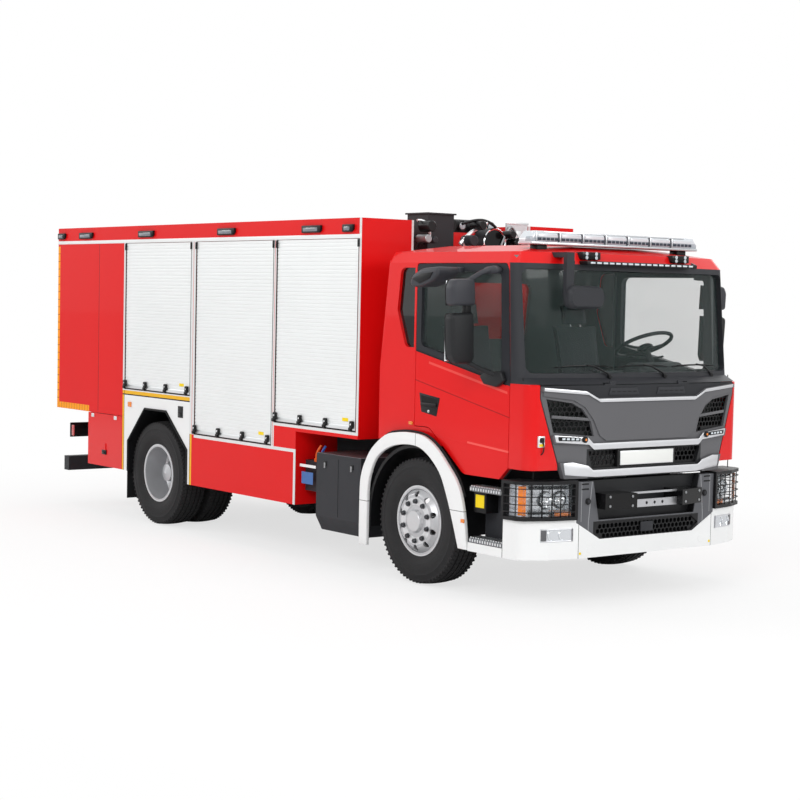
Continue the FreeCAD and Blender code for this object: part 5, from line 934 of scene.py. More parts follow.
def body_trim():
    """The pale rail above the shutters, the rims of the rear arches and the markers over them."""
    piece = Piece("body_trim", "white_paint")
    piece.block((BODY_REAR, -1.256, TRIM_LOW), (BODY_FRONT, -1.246, TRIM_HIGH), "white", 0.003)
    arch = [(-4.9, 0.512), (-4.9, 0.83), (-4.55, 1.19), (-4.11, 1.19), (-3.69, 0.83),
            (-3.69, 0.486)]
    piece.tube([(x, -1.252, z) for x, z in arch], 0.012, "rubber", sides=2)
    piece.block((-4.905, -1.262, 1.19), (-4.835, -1.248, 1.244), "amber", 0.006)
    piece.block((-3.872, -1.256, 1.145), (-3.775, -1.248, 1.262), "black", 0.004)
    piece.block((-3.85, -1.26, 1.165), (-3.8, -1.252, 1.2), "gloss", 0.003)
    piece.twin()
    piece.done()


FLOOD_LAMPS = ((-6.02, -5.72), (-4.7, -4.39), (-3.14, -2.83), (-1.69, -1.39))
MARKERS = ((-6.53, -6.365), (-1.06, -0.9))


def flood_lamps():
    """Black lamp housings on the roof band, each with a fluted clear lens."""
    piece = Piece("flood_lamps", "black_plastic")
    for rear, front in FLOOD_LAMPS + MARKERS:
        outline = [(rear, 2.968), (front - 0.03, 2.968), (front, 2.99), (front, 3.034), (rear, 3.034)]
        piece.plate(outline, "y", -1.276, -1.248, "black", 0.006)
        piece.block((rear + 0.03, -1.281, 2.98), (front - 0.045, -1.27, 3.014), "flood_lens", 0.004)
    piece.twin()
    piece.done("body_lamps")


# Front of the cab

BAND_FOOT, BAND_FACE = 0.015, 0.023
SILVER_EDGE = [(0.542, 1.612), (0.668, 1.672), (1.082, 1.703), (1.082, 1.73), (0.685, 1.699),
               (0.56, 1.639)]
UPPER_BAND = [(0.6, 1.236), (0.65, 1.276), (0.962, 1.301), (0.98, 1.357), (0.66, 1.334), (0.606, 1.286)]
LOWER_BAND = [(0.58, 1.016), (0.62, 1.02), (0.872, 1.04), (0.888, 1.135), (0.8, 1.14), (0.651, 1.109),
              (0.602, 1.074)]
LAMP_MODULE = [(0.94, 1.312), (0.742, 1.306), (0.742, 1.336), (0.946, 1.346)]
RUNG = [(0.985, 1.488), (0.615, 1.462), (0.612, 1.484), (0.985, 1.512)]


def front_bands():
    """Silver bands on the front panel, their black lamp modules and the blank number plate."""
    piece = Piece("front_bands", "rim_silver", "front_panel")
    for outline, radius in ((SILVER_EDGE, 0.003), (UPPER_BAND, 0.004), (LOWER_BAND, 0.004)):
        piece.on_front(both_ways(outline), BAND_FOOT, BAND_FACE, "silver", radius)
    for side in (-1, 1):
        piece.on_front(sided(side, LAMP_MODULE), 0.021, 0.033, "gloss", 0.004)
        for number in range(4):
            y = side * (0.772 + 0.043 * number)
            z = 1.323 + 0.0015 * number
            piece.on_front(oblong((y - 0.014, z - 0.008), (y + 0.014, z + 0.008)), 0.031, 0.035,
                           "clear_lens", 0.001, 1)
        x, y, z = PANEL_X + 0.02 - front_bow(0.695), side * 0.695, 1.318
        piece.drum("x", (x, y, z), 0.026, 0.018, "black", 0.005)
        piece.drum("x", (x + 0.017, y, z), 0.01, 0.004, "amber", 0.001, 20)
    for side in (-1, 1):
        piece.on_front(sided(side, RUNG), -0.026, -0.004, "grey")
    piece.on_front(oblong((-0.33, 1.086), (0.33, 1.226)), -0.024, 0.012, "black", 0.004)
    piece.on_front(oblong((-0.304, 1.1), (0.304, 1.214)), 0.01, 0.018, "rail")
    piece.on_front(oblong((-0.298, 1.106), (0.298, 1.208)), 0.016, 0.02, "plate", 0.002)
    piece.done()


def front_hitch_fittings():
    """Bolts on the bracket boxes, tow covers, yellow dots and the square cover in the lower mesh."""
    piece = Piece("front_fittings", "black_plastic")
    for y in (-0.51, -0.305):
        for z in (0.79, 0.865):
            x = 1.578 + (1.64 - 1.578) * (y + 0.552) / 0.292
            piece.drum("x", (x - 0.001, y, z), 0.011, 0.008, "steel", 0.002, 18)
    for centre, radius, length, look, chamfer, steps in (
            ((1.494, -0.668, 0.83), 0.026, 0.018, "black", 0.005, 32),
            ((1.511, -0.668, 0.83), 0.014, 0.005, "dark", 0.002, 20),
            ((1.499, -0.741, 0.419), 0.011, 0.004, "label", 0.001, 20),
            ((1.4985, -0.64, 0.45), 0.034, 0.003, "white", 0.001, 32)):
        piece.drum("x", centre, radius, length, look, chamfer, steps)
    for z in (0.962, 0.922):
        piece.block((1.494, -0.735, z), (1.5, -0.66, z + 0.012), "gloss", 0.002)
    piece.twin()
    piece.block((1.486, -0.07, 0.552), (1.5, 0.07, 0.632), "dark", 0.004)
    piece.done()


# Heights ahead and radii of the lamps' bowls, bulbs and rims.
HEADLAMP_BOWL = [(0.0, 0.012), (0.004, 0.024), (0.014, 0.038), (0.03, 0.05), (0.052, 0.0585),
                 (0.06, 0.0605), (0.06, 0.0575), (0.051, 0.0555), (0.031, 0.047), (0.016, 0.035),
                 (0.006, 0.021), (0.003, 0.012), (0.0, 0.012)]
HEADLAMP_BULB = [(0.0, 0.0), (0.0, 0.014), (0.026, 0.013), (0.036, 0.008), (0.039, 0.0)]
HEADLAMP_RIM = [(0.0, 0.058), (0.004, 0.07), (0.01, 0.072), (0.012, 0.066), (0.008, 0.059), (0.0, 0.058)]
FOG_BOWL = [(-0.04, 0.01), (-0.03, 0.026), (-0.006, 0.037), (0.002, 0.041), (0.004, 0.038),
            (-0.004, 0.034), (-0.026, 0.024), (-0.036, 0.01), (-0.04, 0.01)]
FOG_BULB = [(-0.03, 0.0), (-0.028, 0.012), (-0.014, 0.011), (-0.008, 0.0)]
HEADLAMP_HEIGHT, FOG_HEIGHT = 0.845, 0.573


def headlamp_parts():
    """Chrome reflectors, the dark mask round them, amber strips and the clear cover of each lamp."""
    piece = Piece("headlamp_optics", "lamp_glass")
    for y in (0.882, 1.013):
        piece.lathe(HEADLAMP_BOWL, "x", (1.33, -y, HEADLAMP_HEIGHT), "chrome", 40)
        piece.lathe(HEADLAMP_BULB, "x", (1.33, -y, HEADLAMP_HEIGHT), "clear_lens", 20)
        piece.lathe(HEADLAMP_RIM, "x", (bumper_face(y) - 0.074, -y, HEADLAMP_HEIGHT), "gloss", 40)
    for z in (0.734, 0.936):
        piece.on_bumper((0.84, 1.15), (z, z + 0.02), 0.048, 0.068, "gloss")
    piece.on_bumper((1.2, 1.23), (0.73, 0.96), 0.012, 0.03, "amber_bright")
    piece.on_bumper((0.826, 0.96), (0.722, 0.756), 0.012, 0.03, "amber_bright")
    piece.on_bumper((0.822, 1.215), (0.722, 0.968), 0.006, 0.01, "lamp_cover", 0.0)
    for y in (0.9, 0.998):
        piece.lathe(FOG_BOWL, "x", (bumper_face(y), -y, FOG_HEIGHT), "chrome", 36)
        piece.lathe(FOG_BULB, "x", (bumper_face(y), -y, FOG_HEIGHT), "clear_lens", 20)
    for across, up in (((0.82, 1.085), (0.5215, 0.53)), ((0.82, 1.085), (0.616, 0.624)),
                       ((0.814, 0.826), (0.5215, 0.624))):
        piece.on_bumper(across, up, -0.004, 0.01, "silver")
    piece.on_bumper((1.046, 1.086), (0.53, 0.616), -0.003, 0.01, "grey")
    piece.twin()
    piece.done()


def corner_brackets():
    """The small charging socket on the right corner, and the markers beside both doors."""
    piece = Piece("corner_fittings", "black_plastic")
    x = PANEL_X - front_bow(1.09)
    piece.block((x - 0.01, -1.12, 1.262), (x + 0.012, -1.052, 1.352), "rail", 0.005)
    piece.block((x + 0.008, -1.106, 1.3), (x + 0.024, -1.066, 1.34), "black", 0.006)
    piece.block((x + 0.011, -1.112, 1.27), (x + 0.0135, -1.06, 1.29), "label", 0.0006, 1)
    lead = [(x + 0.016, -1.074, 1.302), (x + 0.022, -1.07, 1.27), (x + 0.018, -1.072, 1.23),
            (x + 0.004, -1.08, 1.205), (x - 0.02, -1.09, 1.196)]
    piece.tube(lead, 0.005, "rubber", "NURBS")
    for side in (-1, 1):
        piece.beside(side, (-0.15, -0.098), (1.187, 1.2), (1.338, 1.366), "amber", 0.005)
    piece.done()


def screen_x(y, z):
    """How far ahead the windscreen's outside stands."""
    return 1.38 - (z - 1.8) * 0.1 - front_bow(y, SCREEN_SLOPE)


def wipers():
    """Three wipers parked along the foot of the windscreen."""
    piece = Piece("wipers", "black_plastic")
    for start, end in ((-0.9, -0.33), (-0.27, 0.3), (0.36, 0.93)):
        blade = []
        for i in range(11):
            y = start + (end - start) * i / 10
            arc = 1 - ((y - start) / (end - start) * 2 - 1) ** 2
            blade.append((screen_x(y, 1.888) + 0.01, y, 1.882 + 0.012 * arc))
        piece.tube(blade, 0.0055, "rubber")
        piece.tube([(x + 0.008, y, z + 0.004) for x, y, z in blade[1:-1]], 0.0045, "gloss")
        x, y, z = screen_x(end, 1.8) + 0.012, end - 0.03, 1.806
        mid_x, mid_y, mid_z = blade[5]
        arm = [(x, y, z), (x + 0.01, y - 0.04, 1.836), (mid_x + 0.018, mid_y + 0.08, 1.89),
               (mid_x + 0.014, mid_y, mid_z + 0.006)]
        piece.tube(arm, 0.008, "black")
        piece.drum("x", (x - 0.016, y, z), 0.02, 0.026, "black", 0.005, 24)
    piece.done()


def cowl():
    """Pads and air slots between the front panel and the windscreen."""
    piece = Piece("cowl_pads", "dark_plastic", "front_panel")
    for side in (-1, 1):
        pad = [(0.1, 1.664), (0.44, 1.664), (0.42, 1.722), (0.12, 1.722)]
        piece.on_front(sided(side, pad), -0.002, 0.008, "dark", 0.004)
        for number in range(5):
            y = side * (0.15 + 0.06 * number)
            slot = oblong((y - 0.018, 1.688), (y + 0.018, 1.696))
            piece.on_front(slot, 0.006, 0.0095, "black", 0.001, 1)
    piece.done()


BAR_REAR, BAR_FRONT = 0.905, 1.075
BAR_LOW, BAR_HIGH = 2.852, 2.962
BAR_CELLS, CELL_GAP, CELL_LAMPS = 7, 0.016, 5
WORK_LAMP_Y = 0.511


def light_bar_parts():
    """The light bar's rails, cells, reflector rows, sloping ends and feet, and the visor bar."""
    piece = Piece("light_bar", "lamp_glass")
    end = [(0.955, BAR_LOW), (0.955, 2.902), (0.905, BAR_HIGH), (0.8, BAR_HIGH), (0.8, BAR_LOW)]
    for side in (-1, 1):
        piece.plate(sided(side, end), "x", BAR_REAR + 0.012, BAR_FRONT - 0.012, "bar_lens", 0.012, 3)
        y = side * 0.8
        piece.block((0.94, y - 0.055, 2.79), (1.035, y + 0.055, 2.856), "black", 0.012)
    piece.block((BAR_REAR, -0.95, BAR_LOW), (BAR_FRONT, 0.95, 2.874), "bar_rail", 0.006)
    piece.block((BAR_REAR + 0.02, -0.89, 2.944), (BAR_FRONT - 0.02, 0.89, BAR_HIGH), "bar_rail", 0.006)
    width = 1.8 / BAR_CELLS
    for number in range(BAR_CELLS):
        low = -0.9 + width * number + CELL_GAP
        high = low + width - 2 * CELL_GAP
        piece.block((BAR_REAR + 0.006, low, 2.872), (BAR_FRONT - 0.006, high, 2.946), "bar_lens", 0.014, 3)
        for step in range(CELL_LAMPS):
            y = low + (high - low) * (step + 0.5) / CELL_LAMPS
            piece.block((BAR_FRONT - 0.012, y - 0.018, 2.886), (BAR_FRONT - 0.003, y + 0.018, 2.908),
                        "bar_dark", 0.003)
        y = low - CELL_GAP
        piece.block((BAR_FRONT - 0.014, y - 0.006, 2.868), (BAR_FRONT, y + 0.006, 2.95), "bar_rail", 0.004)
    piece.plate(oblong((1.18, 2.698), (1.37, 2.727)), "y", -0.62, 0.62, "black", 0.004)
    for side in (-1, 1):
        y = side * WORK_LAMP_Y
        lamp = [(1.205, 2.745), (1.29, 2.739), (1.301, 2.752), (1.301, 2.79), (1.286, 2.801),
                (1.215, 2.796)]
        piece.plate(lamp, "y", y - 0.1, y + 0.1, "black", 0.006)
        piece.block((1.235, y - 0.02, 2.716), (1.275, y + 0.02, 2.744), "black", 0.004)
        y = side * 0.7
        arm = [(1.18, 2.69), (1.3, 2.7), (1.3, 2.726), (1.18, 2.77)]
        piece.plate(arm, "y", y - 0.012, y + 0.012, "black", 0.003)
    piece.done("cab_lights")


def roof_lights():
    """The row of white lights in the visor bar, and the faces of the work lamps."""
    piece = Piece("roof_light_faces", "lamp_glass")
    for number in range(17):
        y = -0.56 + 0.07 * number
        piece.block((1.367, y - 0.024, 2.706), (1.3745, y + 0.024, 2.72), "clear_lens", 0.002)
    bulb = [(0.0, 0.0), (0.0, 0.0145), (0.003, 0.015), (0.0045, 0.013), (0.0025, 0.0)]
    for side in (-1, 1):
        y = side * WORK_LAMP_Y
        for row in (-1, 1):
            for column in (-1, 1):
                place = (1.3, y + column * 0.052, 2.77 + row * 0.0155)
                piece.lathe(bulb, "x", place, "clear_lens", 20)
        piece.block((1.296, y - 0.098, 2.741), (1.3015, y + 0.098, 2.799), "gloss", 0.002)
    piece.done()


# Wheels

FRONT_WHEEL_Y = 1.058
REAR_WHEEL_YS = (1.07, 0.724)
# Half widths and radii up one side of a tyre, from its bead to the tread.
TYRE_SIDE = [(0.118, 0.299), (0.126, 0.312), (0.128, 0.322), (0.136, 0.34), (0.143, 0.362),
             (0.1445, 0.366), (0.1445, 0.372), (0.1465, 0.378), (0.1485, 0.405), (0.1485, 0.43),
             (0.1465, 0.452), (0.148, 0.456), (0.147, 0.462), (0.144, 0.467), (0.1405, 0.485),
             (0.1365, 0.5), (0.1375, 0.504), (0.134, 0.512), (0.126, 0.522), (0.117, 0.5275)]
TREAD_RADIUS, TREAD_CROWN, TREAD_HALF = 0.5355, 0.008, 0.117
TREAD_GROOVES = (0.078, 0.027, -0.027, -0.078)
# Offsets across a groove and how deep it is there.
GROOVE = ((0.0075, 0.0), (0.005, 0.012), (-0.005, 0.012), (-0.0075, 0.0))
LUGS = 72
WHEEL_NUTS, NUT_REACH = 10, 0.167


def tyre(piece, x, y):
    """A road tyre with its grooves round the tread and its lugs on the shoulders."""
    centre = (x, y, WHEEL_HEIGHT)
    spots = [(middle + offset, depth) for middle in TREAD_GROOVES for offset, depth in GROOVE]
    tread = [(across, TREAD_RADIUS - TREAD_CROWN * (across / TREAD_HALF) ** 2 - depth)
             for across, depth in spots]
    profile = TYRE_SIDE + tread + sided(-1, TYRE_SIDE[::-1]) + TYRE_SIDE[:1]
    piece.add(lathe(profile, "y", centre, 112), "tyre", 0.45)
    for side in (-1, 1):
        middle = y + side * 0.1265
        lug = rounded_block((x - 0.0085, middle - 0.0115, WHEEL_HEIGHT + 0.502),
                            (x + 0.0085, middle + 0.0115, WHEEL_HEIGHT + 0.5265), 0.002, 1)
        piece.add(ring_of(lug, LUGS, centre), "tyre")


def tyres():
    """The single front tyres and the twin rear tyres."""
    for side, word in SIDES:
        piece = Piece(f"tyre_front_{word}", "tyre_rubber", f"front_wheel_{word}")
        tyre(piece, 0.0, side * FRONT_WHEEL_Y)
        piece.done(f"front_tyre_{word}")
        piece = Piece(f"tyres_rear_{word}", "tyre_rubber", f"rear_wheels_{word}")
        for out in REAR_WHEEL_YS:
            tyre(piece, REAR_AXLE, side * out)
        piece.done(f"rear_tyres_{word}")


def wheel_nuts():
    """Dark hexagon nuts, a valve and the brushed cap of each front wheel."""
    nut_form = [(0.0, 0.0), (0.0, 0.0205), (0.02, 0.0205), (0.025, 0.0165), (0.025, 0.0)]
    washer_form = [(0.0, 0.0), (0.0, 0.0245), (0.002, 0.024), (0.003, 0.0)]
    cap = [(0.0, 0.0), (0.0, 0.09), (0.022, 0.088), (0.0275, 0.082), (0.0285, 0.06), (0.0275, 0.0)]
    for side, word in SIDES:
        piece = Piece(f"wheel_nuts_front_{word}", "cast_steel", f"front_wheel_{word}")
        face = side * (FRONT_WHEEL_Y + 0.158)
        centre = (0.0, face, WHEEL_HEIGHT)
        top = (0.0, face, WHEEL_HEIGHT + NUT_REACH)
        piece.add(ring_of(lathe(nut_form, (0, side, 0), top, 6), WHEEL_NUTS, centre), "nut", 0.3)
        piece.add(ring_of(lathe(washer_form, (0, side, 0), top, 24), WHEEL_NUTS, centre), "steel")
        piece.lathe(cap, (0, side, 0), centre, "cap", 64)
        stem = [(0.232, face - side * 0.03, WHEEL_HEIGHT + 0.06),
                (0.24, face - side * 0.01, WHEEL_HEIGHT + 0.064),
                (0.243, face + side * 0.014, WHEEL_HEIGHT + 0.066)]
        piece.tube(stem, 0.004, "steel")
        piece.done()


# Sides of the cab

def door_details():
    """The recessed handle with its lock, the mirrors' glass and the seal along the belt line."""
    for side, word in SIDES:
        piece = Piece(f"door_details_{word}", "black_plastic", f"door_{word}")
        recess = [(-0.018, 1.616), (0.256, 1.584), (0.216, 1.428), (0.012, 1.456)]
        piece.plate(recess, "y", side * 1.185, side * 1.1925, "black", 0.003)
        well = [(0.006, 1.597), (0.226, 1.571), (0.199, 1.492), (0.022, 1.51)]
        piece.plate(well, "y", side * 1.19, side * 1.1935, "gloss", 0.001, 1)
        piece.beside(side, (0.012, 0.222), (1.19, 1.207), (1.506, 1.536), "black", 0.009, 3)
        piece.drum((0, side, 0), (0.11, side * 1.1915, 1.466), 0.013, 0.004, "chrome", 0.001, 24)
        near, far = spread(side, 1.352, 1.558)
        for low_z, high_z in ((1.912, 2.278), (2.372, 2.548)):
            piece.plate(oblong((near, low_z), (far, high_z)), "x", 0.752, 0.762, "mirror", 0.0045, 3)
        ledge = [(x, side * 1.1925, BELT_HEIGHT - x * BELT_FALL) for x in (-0.07, 0.3, 0.7, 1.08)]
        piece.tube(ledge, 0.0045, "rubber")
        piece.done()


def smooth_line(points, steps=5):
    """A line that passes smoothly through some points."""
    line = []
    for number in range(len(points) - 1):
        before, start = points[max(number - 1, 0)], points[number]
        end, after = points[number + 1], points[min(number + 2, len(points) - 1)]
        for step in range(steps):
            share = step / steps
            line.append(tuple(0.5 * (2 * start[k] + (end[k] - before[k]) * share
                                     + (2 * before[k] - 5 * start[k] + 4 * end[k] - after[k]) * share ** 2
                                     + (3 * start[k] - before[k] - 3 * end[k] + after[k]) * share ** 3)
                              for k in range(2)))
    return line + [points[-1]]


BAND_OUTER = [(-0.745, 0.255), (-0.745, 0.7), (-0.728, 0.86), (-0.672, 0.985), (-0.572, 1.114),
              (-0.395, 1.232), (-0.23, 1.268), (-0.06, 1.279), (0.13, 1.262), (0.3, 1.182),
              (0.464, 1.044), (0.575, 0.93), (0.645, 0.8), (0.69, 0.62), (0.722, 0.385)]
BAND_INNER = [(-0.632, 0.255), (-0.63, 0.7), (-0.6, 0.87), (-0.505, 1.035), (-0.302, 1.143),
              (-0.043, 1.176), (0.15, 1.135), (0.345, 0.985), (0.455, 0.79), (0.548, 0.56),
              (0.612, 0.385)]
LINER_REACH, LINER_WALL = 0.615, 0.03
LINER_REAR_FOOT, LINER_FRONT_FOOT = 0.42, 0.485
ARC_STEP = math.pi / 24


def front_arches():
    """The rounded white arch bands with their rolled edge, and the black liners round the wheels."""
    piece = Piece("front_arches", "white_paint")
    band = smooth_line(BAND_OUTER) + smooth_line(BAND_INNER)[::-1]
    piece.plate(band, "y", -1.262, -1.228, "fenders", 0.007, 3)
    liner = []
    for reach, order in ((LINER_REACH + LINER_WALL, 1), (LINER_REACH, -1)):
        turns = [step * ARC_STEP for step in range(25)]
        arc = [(-reach * math.cos(turn), WHEEL_HEIGHT + reach * math.sin(turn)) for turn in turns]
        line = [(-reach, LINER_REAR_FOOT)] + arc + [(reach, LINER_FRONT_FOOT)]
        liner += line[::order]
    piece.plate(liner, "y", -1.23, -0.76, "black")
    piece.twin()
    piece.done("front_fenders")


UPPER_MIRROR = [(1.578, 2.5), (1.548, 2.56), (1.345, 2.569), (1.332, 2.356), (1.57, 2.352)]
LOWER_MIRROR = [(1.579, 2.262), (1.56, 2.29), (1.346, 2.298), (1.334, 1.95), (1.36, 1.897),
                (1.505, 1.893), (1.56, 1.955)]
TOP_ARM = ((0.815, 1.42, 2.52), (0.85, 1.33, 2.596), (0.905, 1.255, 2.64), (0.96, 1.2, 2.652))
FOOT_ARM = ((0.815, 1.42, 1.93), (0.86, 1.33, 1.872), (0.95, 1.23, 1.82), (1.03, 1.196, 1.79))
TOP_CAP = [(0.8, 2.612), (0.85, 2.662), (0.96, 2.676), (1.02, 2.646), (1.0, 2.612), (0.88, 2.604)]
FOOT_CAP = [(0.8, 1.792), (0.87, 1.832), (1.06, 1.842), (1.095, 1.768), (1.0, 1.716), (0.85, 1.734)]
KERB_HOOD = [(0.152, 2.53), (0.196, 2.6), (0.31, 2.648), (0.536, 2.663), (0.538, 2.604), (0.44, 2.54),
             (0.3, 2.5), (0.18, 2.494)]
KERB_FACE = [(0.2, 2.56), (0.33, 2.606), (0.47, 2.616), (0.43, 2.566), (0.3, 2.524)]


def mirror_heads():
    """The door mirrors, their arms with cap and foot, and the kerb mirror over the right door."""
    for side, word in SIDES:
        piece = Piece(f"mirror_heads_{word}", "dark_plastic", f"door_{word}")
        # The upper head, top arm and kerb hood take the painted lit shell; the lower head and foot arm
        # take the painted shaded shell.
        for outline, look in ((UPPER_MIRROR, "mirror_shell"), (LOWER_MIRROR, "mirror_dark")):
            piece.plate(sided(side, outline), "x", 0.764, 0.868, look, 0.026, 4)
            rim = [(side * (out - 0.004), z) for out, z in outline]
            piece.plate(rim, "x", 0.76, 0.772, "black", 0.004)
        piece.beside(side, (0.792, 0.838), (1.36, 1.42), (2.28, 2.372), "black", 0.008)
        for arm, radius, cap, reach, round_off, steps, look in (
                (TOP_ARM, 0.021, TOP_CAP, (1.186, 1.252), 0.018, 4, "mirror_shell"),
                (FOOT_ARM, 0.02, FOOT_CAP, (1.184, 1.236), 0.012, 3, "mirror_dark")):
            piece.tube([(x, side * out, z) for x, out, z in arm], radius, look, "NURBS")
            piece.plate(cap, "y", *spread(side, *reach), look, round_off, steps)
        if side < 0:
            piece.plate(KERB_HOOD, "y", -1.462, -1.24, "mirror_shell", 0.03, 4)
            piece.plate(KERB_FACE, "y", -1.469, -1.456, "black", 0.003)
            piece.block((0.43, -1.25, 2.616), (0.536, -1.182, 2.662), "mirror_shell", 0.012)
        piece.done(f"mirrors_{word}")


ARCH_LIP = [(-0.74, 0.83), (-0.668, 0.992), (-0.566, 1.122), (-0.391, 1.243), (-0.228, 1.278),
            (-0.058, 1.288), (0.134, 1.27), (0.306, 1.19), (0.47, 1.052), (0.582, 0.938),
            (0.652, 0.806)]
STEP_TEETH = 13


def cab_side_trim():
    """Serrated step treads, the arches' rubber lips and markers, and the seams of the corner panels."""
    piece = Piece("cab_side_trim", "dark_plastic")
    for low_x, high_x, top in ((0.73, 1.142, 0.9), (0.734, 1.142, 0.485)):
        span = (low_x, high_x)
        piece.beside(-1, span, (1.105, 1.244), (top - 0.006, top + 0.004), "tread", 0.002, 1)
        piece.beside(-1, span, (1.238, 1.245), (top - 0.034, top + 0.002), "tread", 0.002, 1)
        for number in range(STEP_TEETH):
            x = low_x + 0.018 + (high_x - low_x - 0.036) * number / (STEP_TEETH - 1)
            tooth = (x - 0.007, x + 0.007)
            piece.beside(-1, tooth, (1.12, 1.24), (top + 0.002, top + 0.013), "rail", 0.002, 1)
            piece.beside(-1, tooth, (1.24, 1.25), (top - 0.026, top - 0.004), "rail", 0.002, 1)
    piece.beside(-1, (0.727, 0.88), (1.062, 1.196), (0.692, 0.866), "black", 0.006)
    piece.beside(-1, (0.752, 0.858), (1.194, 1.1985), (0.734, 0.838), "label", 0.0005, 1)
    piece.tube([(x, -1.222, z) for x, z in smooth_line(ARCH_LIP, 3)], 0.01, "rubber", sides=2)
    piece.beside(-1, (0.648, 0.694), (1.258, 1.268), (0.6, 0.632), "amber", 0.004)
    seam = [(1.345, -1.118, 1.01), (1.345, -1.118, 1.18), (1.3, -1.15, 1.52), (1.262, -1.176, 1.8)]
    piece.tube(seam, 0.004, "rubber")
    piece.twin()
    piece.done()


def chassis_box_details():
    """Tread, latches and seam of the side box, strip, label and couplings of the small one, tank cap."""
    piece = Piece("chassis_box_details", "dark_plastic")
    piece.beside(-1, (-1.455, -0.8), (0.7, 1.212), (0.988, 0.994), "tread", 0.002, 1)
    for x in (-1.33, -0.926):
        piece.beside(-1, (x - 0.03, x + 0.03), (1.21, 1.222), (0.88, 0.925), "black", 0.005)
        piece.beside(-1, (x - 0.012, x + 0.012), (1.22, 1.226), (0.862, 0.912), "steel")
    for x, out, z, look, radius in (
            ((-1.44, -0.816), (1.2135, 1.2165), (0.43, 0.965), "dark", 0.0012),
            ((-1.128, -1.124), (1.215, 1.2185), (0.44, 0.955), "gloss", 0.0005),
            ((-1.73, -1.478), (1.2135, 1.2185), (0.842, 0.868), "white", 0.001),
            ((-1.7, -1.52), (1.2135, 1.2175), (0.69, 0.8), "label_blue", 0.001)):
        piece.beside(-1, x, out, z, look, radius, 1)
    for x, look in ((-1.56, "coupling_orange"), (-1.49, "coupling_blue")):
        run = [(x, -1.15, 0.895), (x + 0.004, -1.156, 0.95), (x + 0.02, -1.15, 1.0),
               (x + 0.03, -1.12, 1.045)]
        piece.tube(run, 0.012, look, "NURBS")
        piece.drum("z", (x, -1.15, 0.895), 0.022, 0.032, look, 0.004, 20)
    piece.done()
    tank = Piece("fuel_tank_details", "dark_plastic")
    tank.beside(1, (-1.455, -0.8), (0.7, 1.2), (0.988, 0.994), "tread", 0.002, 1)
    tank.drum("y", (-1.0, 1.205, 0.87), 0.058, 0.02, "black", 0.005, 36)
    tank.drum("y", (-1.0, 1.224, 0.87), 0.036, 0.006, "dark", 0.003, 30)
    tank.done()


# Inside the cab

WHEEL_CENTRE = (0.855, 0.56, 2.045)
WHEEL_REACH, WHEEL_TILT = 0.245, 0.46
DASH_PROFILE = [(0.93, 1.43), (1.19, 1.425), (1.225, 1.64), (1.225, 1.775), (1.1, 1.8), (0.965, 1.785),
                (0.93, 1.7)]
DASH_HOOD = [(0.905, 1.765), (1.12, 1.77), (1.115, 1.85), (1.01, 1.905), (0.925, 1.895)]


def dashboard():
    """The padded dashboard with its hood, screen and vents, and the steering wheel on its column."""
    piece = Piece("dash_and_wheel", "dark_plastic")
    piece.plate(DASH_PROFILE, "y", -1.06, 1.06, "lining", 0.022, 4)
    piece.plate(DASH_HOOD, "y", 0.27, 0.85, "dash_pad", 0.03, 4)
    console = [(0.88, 1.6), (0.935, 1.6), (0.96, 1.83), (0.915, 1.83)]
    piece.plate(console, "y", -0.06, 0.24, "dash_pad", 0.016, 3)
    display = [(0.876, 1.66), (0.884, 1.66), (0.908, 1.81), (0.9, 1.81)]
    piece.plate(display, "y", -0.03, 0.21, "gloss", 0.003)
    for y in (-0.88, -0.52, 0.92):
        piece.block((0.918, y - 0.075, 1.64), (0.94, y + 0.075, 1.71), "black", 0.01)
    x, y, z = WHEEL_CENTRE
    along, up = math.cos(WHEEL_TILT), math.sin(WHEEL_TILT)

    def on_wheel(angle, share=1.0, lift=0.0):
        reach = WHEEL_REACH * share
        return (x + reach * math.cos(angle) * along - lift * up, y + reach * math.sin(angle),
                z + reach * math.cos(angle) * up + lift * along)

    piece.tube([on_wheel(step * ARC_STEP) for step in range(48)], 0.0165, "grip", closed=True)
    for angle in (math.pi / 2, -math.pi / 2, math.pi):
        spoke = [on_wheel(angle, 0.15, -0.035), on_wheel(angle, 0.6, -0.02), on_wheel(angle, 0.97)]
        piece.tube(spoke, 0.012, "grip")
    piece.drum((-up, 0, along), on_wheel(0.0, 0.0, -0.05), 0.07, 0.04, "grip", 0.014)
    piece.tube([on_wheel(0.0, 0.0, -0.04), (1.01, y, 1.76)], 0.034, "black")
    for side in (-1, 1):
        piece.tube([(0.925, y, 1.925), (0.9, y + side * 0.19, 1.945)], 0.009, "black")
    piece.done("dashboard")


# Gear behind the cab

DRUM_CENTRE = (-0.8, 0.26, 2.925)
DRUM_RIM = [(-0.012, 0.124), (0.004, 0.13), (0.012, 0.134), (0.018, 0.128), (0.014, 0.116),
            (0.002, 0.112), (-0.012, 0.124)]
DRUM_FACE = [(0.0, 0.0), (0.0, 0.115), (0.006, 0.113), (0.01, 0.07), (0.004, 0.0)]
REEL, REEL_RADIUS = (-0.905, -0.59, 2.8), 0.15
